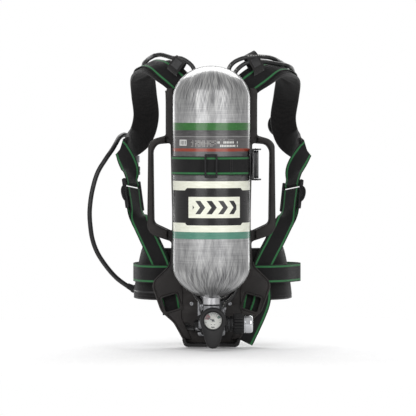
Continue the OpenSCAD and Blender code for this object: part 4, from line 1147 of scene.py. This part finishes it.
LOCK_LEAN = {-1: (-18, -9, -48), 1: (-22, -10, -38)}
LOCK_AT = {-1: np.array([162, 62, -18.0]), 1: np.array([166, 62, -20.0])}
BAR_R, BAR_TOP, BAR_MID, BAR_LOW = 2.2, 24, 12, -24
TURN_R = BAR_R + 0.3 + WEB_T / 2
lock_turn = {s: Matrix.Rotation(math.radians(c), 3, "Z") @ Matrix.Rotation(math.radians(b), 3, "Y")
             @ Matrix.Rotation(math.radians(a), 3, "X") for s, (a, b, c) in LOCK_LEAN.items()}
lock_rows = {s: np.array(m) for s, m in lock_turn.items()}
LOCK_ACROSS = {s: m @ [1, 0, 0] for s, m in lock_rows.items()}


def lock_world(s, v):
    return LOCK_AT[s] + lock_rows[s] @ np.array(v, float)


def turn(s, z, a0, a1):
    return [np.concatenate([lock_world(s, [0, TURN_R * math.cos(a), z + TURN_R * math.sin(a)]), LOCK_ACROSS[s]])
            for a in np.radians(np.linspace(a0, a1, 9))]


def station(p, w):
    return np.concatenate([p, w])


def shoulder_web(s):
    q = pad_coarse[s]
    last = len(q.p) - 1
    over = turn(s, BAR_TOP, 180, 360)
    drop = smooth([station(q.at(last, 0, WEB_LIFT), q.w[last]),
                   station(LOCK_AT[s] + [9, 33, 60], [0.75, -0.38, -0.55]),
                   station(lock_world(s, [0.5, -1, 40]), LOCK_ACROSS[s]), over[0]], 5)
    back = station(lock_world(s, [0, 4.2, 36]), LOCK_ACROSS[s])
    return Strip(smooth(q.lifted(0, WEB_LIFT, 0, last - 1) + list(drop) + over[1:] + [back], 3))


anchor = {
    -1: [[81, 6, -262], [84, 6, -238], [91, 9, -205], [98, 13.2, -174], [106, 17, -150], [124, 26, -112],
         [142, 38, -76]],
    1: [[81, 7, -262], [84, 7, -238], [92, 9.5, -205], [100, 13.2, -174], [109, 17, -150], [129, 26, -112],
        [147, 38, -78]],
}
tail_points = {
    -1: [[145, 33.5, -74], [127, 21.5, -112], [109, 13, -150], [101, 9.8, -172], [99, 9, -180]],
    1: [[150, 33.5, -76], [132, 21.5, -112], [112, 13, -150], [103, 9.8, -173], [103, 7.2, -203],
        [103, 3.6, -234], [89, 2.8, -272], [67, 2.8, -318]],
}


def with_width(points):
    return [station(v, [0.9, 0.2 if v[2] > -195 else 0.1 if v[2] > -204 else 0, -0.35]) for v in points]


def pull_web(s):
    over = turn(s, BAR_MID, 0, 180)
    up = smooth(with_width(anchor[s]) + [station(lock_world(s, [0, 4.6, -36]), LOCK_ACROSS[s]), over[0]], 3)
    down = smooth([over[8], station(lock_world(s, [0, -4.8, -36]), LOCK_ACROSS[s])] + with_width(tail_points[s]), 3)
    return Strip(smooth(list(up) + over[1:8] + list(down), 3))


for s, side in SIDE.items():
    strip_piece("shoulder_web_" + side, s, web_part(shoulder_web(s)), "webbing", nodes=["shoulder_webbing_" + side])
    strip = pull_web(s)
    end = len(strip.p) - 1
    fold = Strip(strip.lifted(0, -WEB_T + 0.05, end - 9, end))
    piece = strip_piece("pull_web_" + side, s, join_parts([web_part(strip), ribbon_part(fold, WEB_W, WEB_T - 0.2)]),
                        "webbing", body=None, nodes=["pull_strap_" + side])
    low, high = on_side(s, [[130, 26, -118], [158, 50, -52]])
    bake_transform(piece, "pack", "lock_" + side, start=low * MM, end=high * MM)

    half, rail = WEB_W / 2 + 1.8, 5
    bar = lambda z: tube_part(
        on_side(s, [lock_world(s, [x, 0, z]) for x in np.linspace(-half - 1, half + 1, 6)]), BAR_R)[:2]
    turn4 = Matrix.Translation(Vector(LOCK_AT[s])) @ lock_turn[s].to_4x4()
    mirror = Matrix.Diagonal((s, 1, 1, 1))
    frame_parts = [box_part((x, -4, -31), (x + rail, 4, 33), 1.7, mirror @ turn4) for x in (-half - rail, half)]
    tab = [(half + rail - 1.5, 18.5, 2), (half + rail, 18.5, 0)]
    tab += [(half + rail + 12 * math.cos(b), 18 * math.sin(b), 0) for b in np.linspace(1.5, -1.5, 16)]
    tab += [(half + rail, -18.5, 0), (half + rail - 1.5, -18.5, 2)]
    grip = slab_part("tab", [rounded(tab)], -3, 0, 1.1)
    ridges = [box_part((half + rail + 2, -3.6, z - 1), (half + rail + 7.5 - abs(z) * 0.2, -2.6, z + 1), 0.4)
              for z in (-12, -8, -4, 0, 4, 8, 12)]
    place = np.array(mirror @ turn4)
    for v, f in [grip] + ridges:
        frame_parts.append((v @ place[:3, :3].T + place[:3, 3], f))
    frame_parts.append(bar(BAR_LOW))
    make("ladder_lock_" + side, *joined(frame_parts), M["buckle"], body="lock_" + side, slot="buckle_plastic",
         nodes=["strap_lock_" + side])
    make("ladder_lock_bars_" + side, *joined([bar(BAR_TOP), bar(BAR_MID)]), M["steel"], body="lock_" + side,
         slot="chrome")

# ---------------------------------------------------------------- hip pad, belt and buckle

hip_fine = Strip(smooth(hip_stations, 7))
hip_grid = puffed("hip_pad_cover", hip_fine, 1, hip_w - 1.6, hip_t, 0.9, M["hip"], "hip_pad", 14)
pad_trim("hip_pad", "", 1, hip_fine, hip_grid, hip_w / 2, 2.2, (6.0, 4.4), 2.4, (7.5, 5.0), 18, (3, 15, 21, 33))

BELT_Z = -179
belt_path = {
    -1: [[32, 2.5], [60, 2.5], [95, 3.2], [124, 10], [149, 42], [160, 95], [161, 130], [151, 170],
         [118, 205], [70, 225], [42, 230]],
    1: [[32, 2.5], [60, 2.5], [95, 3.2], [126, 9.5], [154, 38], [175, 84], [185, 112], [179, 145],
        [153, 180], [114, 208], [70, 225], [42, 230]],
}
for s, side in SIDE.items():
    strip = Strip(smooth([[x, y, BELT_Z, 0, 0, 1] for x, y in belt_path[s]], 12))
    strip_piece("belt_web_" + side, s, web_part(strip), "webbing", nodes=["belt_" + side])
refine("belt_clamp", "belt_clamp_block", M["buckle"], 0.8)
refine("buckle_socket", "buckle_receiver", M["buckle"], 2.2, segments=3)
refine("buckle_tongue", "buckle_latch_plate", M["steel"], 0.7)
refine("buckle_button", "buckle_release", M["red"], 0.8, segments=3)
gland = [(0.05, 0), (8.3, 0), (8.5, 0.6), (8.5, 6), (8, 6.8), (7.3, 7.2)]
for k in range(4):
    r = 7.1 - 0.34 * k
    gland += [(r, 7.5 + 2.7 * k), (r, 9.0 + 2.7 * k), (r - 0.6, 9.3 + 2.7 * k), (r - 0.6, 10.0 + 2.7 * k)]
gland += [(5.7, 18.4), (5.5, 19.0), (0.05, 19.0)]
v, f = lathe_part(gland, (0, 0, 0), "z", 40)
leaned = np.array(Matrix.Rotation(-GLAND_LEAN, 3, "Y"))
make("hose_strain_relief", v @ leaned.T + gland_at - 2 * gland_dir, f, M["boot"], slot="rubber",
     nodes=["hose_gland"], angle=30)

# ---------------------------------------------------------------- hoses on the harness

LINE_R, OVER_LIFT = 4.5, WEB_LIFT + WEB_T / 2 + 4.5 + 0.6
rescue_end, demand_end = np.array([-131, 218, 148.0]), np.array([-162, 223, 62.0])
console_c = np.array([145, 221.5, 127.0])
CONSOLE_R, COUPLING = 26, 42


def climb(start, x, top):
    start = np.array(start, float)
    lead = start + [3 if x > 0 else -3, 1, 12]
    return [start, lead, [x * 0.8, -18, -222], [x, -12, -190], [x, -11, -120], [x, -11, -40], [x, -11, 40],
            [x, -11, 120], [x, -11, 185]] + top


def pad_route(s, shift, first, last):
    return [pad_coarse[s].at(i, shift, OVER_LIFT) * [s, 1, 1] for i in range(first, last + 1)]


whistle_end = pad_coarse[1].at(20, -6, OVER_LIFT + 3.4)
routes = {
    "rescue_hose": list(smooth(climb([-20, -26, -244.5], -40, [
        [-37, -11, 221], [-36, -9, 241], [-45, -5, 254], [-62, -1, 264], [-79, 4, 265], [-92, 11, 269],
        [-105, 21, 272], [-118, 35, 270]]), 3))
    + [pad_coarse[-1].at(11, 10, OVER_LIFT + 1.5) * [-1, 1, 1]] + pad_route(-1, 8, 12, 12)
    + pad_route(-1, 6, 13, 21)
    + [[-131, 204, 171], [-131, 213, 160], rescue_end],
    "gauge_line": list(smooth(climb([13, -20, -243.5], 40, [
        [37, -11, 221], [36, -9, 242], [45, -6, 255], [60, -3, 263], [77, 0, 267], [93, 6, 268], [107, 18, 267.5],
        [121, 35, 266], [133, 53, 262]]), 3))
    + [pad_coarse[1].at(12, 14, OVER_LIFT + 0.5)] + pad_route(1, 10, 13, 21)
    + [[145, 207, 174], [145, 217, 165], console_c + [0, 0, CONSOLE_R]],
    "whistle_line": list(smooth(climb([25, -34, -249.5], 55, [
        [50, -10, 214], [48, -8, 232], [56, -5, 244], [70, -2, 254], [85, 2, 258], [100, 11, 258],
        [113, 22, 257]]), 3))
    + pad_route(1, -2, 9, 10) + pad_route(1, -6, 11, 18)
    + [pad_coarse[1].at(19, -6, OVER_LIFT + 1.5), whistle_end],
}
for name, route in routes.items():
    line = smooth(route, 3)
    strip_piece(name + "_rubber", 1, tube_part(line, LINE_R - 0.05), "hose", "hose_rubber", nodes=[name])
    make(name + "_ferrule", *tube_part(line[:5], LINE_R + 0.9, 24)[:2], M["steel"], slot="steel")
supply = (list(smooth([[-33, -28, -290], [-42, -17, -290], [-50, -3, -288], [-60, 12, -276], [-76, 19, -252],
                       hip.at(16, CHANNEL - 6, 0), hip.at(14, CHANNEL, 0)], 3))
          + [hip.at(i, CHANNEL, 0) for i in range(13, 2, -1)] + [hip.at(2, CHANNEL, 3)])
strip_piece("supply_hose_rubber", 1, tube_part(smooth(supply, 3), HOSE_R - 0.45), "hose", "hose_rubber",
            nodes=["supply_hose"])

keeper_loop = {
    -1: [[-12, 0], [-10, 8], [-4, 13.4], [8, 14.8], [17, 14.8], [21.8, 9], [20.5, 1], [13, -5], [6, -8]],
    1: [[-13, 0], [-9, 8], [-2, 13.8], [12, 14.8], [24, 14.8], [31.5, 9], [30, 1], [17, -5.5], [6, -8]],
}
keeper_flap = [(-1, 15.4), (3, 15.7), (8, 16.0), (13, 16.0), (17, 15.9)]
for s, side in SIDE.items():
    q, i = pad_coarse[s], 5 if s > 0 else 4
    base = q.at(i, 18, WEB_LIFT + 1.2)
    round_hoses, flap = ([station(base + a * q.w[i] + b * q.n[i], q.t[i]) for a, b in line]
                         for line in (keeper_loop[s], keeper_flap))
    strip_piece("hose_keeper_loop_" + side, s, ribbon_part(Strip(smooth(round_hoses, 6)), 26, 1.6), "binding",
                nodes=["hose_keeper_" + side])
    strip_piece("hose_keeper_flap_" + side, s, ribbon_part(Strip(flap), 18, 1.6), "buckle", "buckle_plastic")

# ---------------------------------------------------------------- couplings, console, whistle


def coupling_profile():
    p = [(6.1, 20), (6.1, 0.4), (6.5, 0), (8.5, 0), (9, 0.5), (9, 25.5), (9.6, 26.2), (9.6, 27.6), (10.4, 28)]
    for k in range(4):
        z = 28.6 + 3.1 * k
        p += [(11, z), (11, z + 2.2), (10.5, z + 2.5), (10.5, z + 2.9)]
    return p + [(11, 41), (10.6, 41.8), (6.2, 42)]


for name, end in (("demand", demand_end), ("rescue", rescue_end)):
    make(name + "_coupling_body", *lathe_part(coupling_profile(), end - [0, 0, COUPLING], "z"), M["steel"],
         slot="chrome", nodes=[name + "_coupling"], angle=30)
sleeve = [(9.1, 1, 0), (11.2, 1, 0), (11.9, 1.8, 1), (12, 3, 1), (12, 8, 1), (11.3, 8.6, 0), (11.3, 9.6, 0),
          (12, 10.2, 1), (12, 17, 1), (11.2, 18.9, 0), (9.1, 19, 0)]
make("demand_sleeve_knurled", *lathe_part(sleeve, demand_end - [0, 0, COUPLING], "z", 192, 32, 0.5, 1.0),
     M["alloy"], body="sleeve", slot="cast_alloy", nodes=["demand_sleeve"], angle=60)

low = [(0.05, -12), (23, -12), (25, -11), (26, -9), (26, 8.6), (25.2, 10.8), (23.4, 12), (21.2, 12), (20.2, 11.2),
       (20.02, 9), (20.02, -2.0), (0.05, -2.2)]
make("console_cover", *lathe_part(low, console_c, "y", 96), M["boot"], slot="rubber", nodes=["console_boot"],
     angle=50)
CONSOLE_FACE = console_c[1]
console_xz = (console_c[0], console_c[2])
dial("console", console_xz, CONSOLE_FACE, 19.9, 1, "console_dial", (-128, -92), (92, 128),
     list(np.linspace(-128, 128, 33)), [("0", -120), ("10", -60), ("20", 0), ("30", 60)])
paint("console_needle", "ink_black")
make("console_pointer_hub", *disc_part(console_xz, HUB_R, CONSOLE_FACE + 1.4, CONSOLE_FACE + 3.2, 32),
     M["ink_black"], body="console_pointer", slot="pointer_black")
paint("console_lens", "lens")
pipe = [(4, 16), (4, 0.5), (4.5, 0), (7, 0), (7.5, 0.6), (7.5, 6), (6.8, 6.6), (6.8, 8.2), (7.5, 8.8), (7.5, 22),
        (6.6, 23), (6.6, 26), (7.4, 27), (7.4, 29.4), (6.8, 30), (4.8, 30)]
v, f = lathe_part(pipe, (0, 0, -30), "z", 48)
tilt = np.array(Matrix.Rotation(math.radians(40), 3, "X"))
make("alarm_whistle_tube", v @ tilt.T + whistle_end, f, M["brass"], slot="steel", nodes=["alarm_whistle"], angle=30)

# ---------------------------------------------------------------- studio

FLOOR_Z, FLOOR_R = -0.329, 2.2


def area_light(name, place, look, width, height, power, tint=(1, 1, 1)):
    data = bpy.data.lights.new(name, "AREA")
    data.shape, data.size, data.size_y, data.energy, data.color = "RECTANGLE", width, height, power, tint
    light = bpy.data.objects.new(name, data)
    bpy.context.scene.collection.objects.link(light)
    light.location = place
    light.rotation_euler = (Vector(look) - Vector(place)).to_track_quat("-Z", "Y").to_euler()


area_light("key_left", (-1.25, -2.3, 0.8), (0, -0.1, 0.05), 1.6, 1.8, 27)
area_light("key_right", (1.3, -2.3, 0.8), (0, -0.1, 0.05), 1.75, 1.8, 27)
area_light("top", (0, 1.55, 1.75), (0, 0, 0.05), 2.6, 1.3, 40)
area_light("rim_left", (-1.4, 2.6, 0.3), (0, 0, 0), 1.15, 2.0, 12)
area_light("rim_right", (1.4, 2.6, 0.3), (0, 0, 0), 1.15, 2.0, 12)

paper = Shader("studio_paper", Roughness=0.95)
paper.set(Base_Color=paper.mix(paper.cloud(3.0, 2, 0.3, 0.7),
                       srgb(250, 250, 250), srgb(245, 245, 246)))
reach_out = paper.node("VectorMath", operation="LENGTH")
paper.plug(reach_out.inputs[0], paper.scaled(paper.place(), (1, 0.8, 1)))
paper.plug(paper.bsdf.inputs["Alpha"], paper.grey(reach_out.outputs["Value"], 0.25, 0.95, 0.9, 0.0))
bpy.ops.mesh.primitive_circle_add(vertices=96, radius=FLOOR_R, fill_type="NGON", location=(0, 0, FLOOR_Z))
floor = bpy.context.object
floor.name = "studio_floor"
floor.data.materials.append(paper.material)

world = bpy.data.worlds.new("studio")
bpy.context.scene.world = world
world.use_nodes = True
sky = world.node_tree
seen = sky.nodes.new("ShaderNodeLightPath").outputs["Is Camera Ray"]
strength = sky.nodes.new("ShaderNodeMapRange")
sky.links.new(seen, strength.inputs[0])
for socket, value in zip(strength.inputs[1:5], (0.0, 1.0, 0.5, 1.0)):
    socket.default_value = value
sky.nodes["Background"].inputs[0].default_value = (1, 1, 1, 1)
sky.links.new(strength.outputs[0], sky.nodes["Background"].inputs[1])
bpy.context.scene.view_settings.view_transform = "Standard"
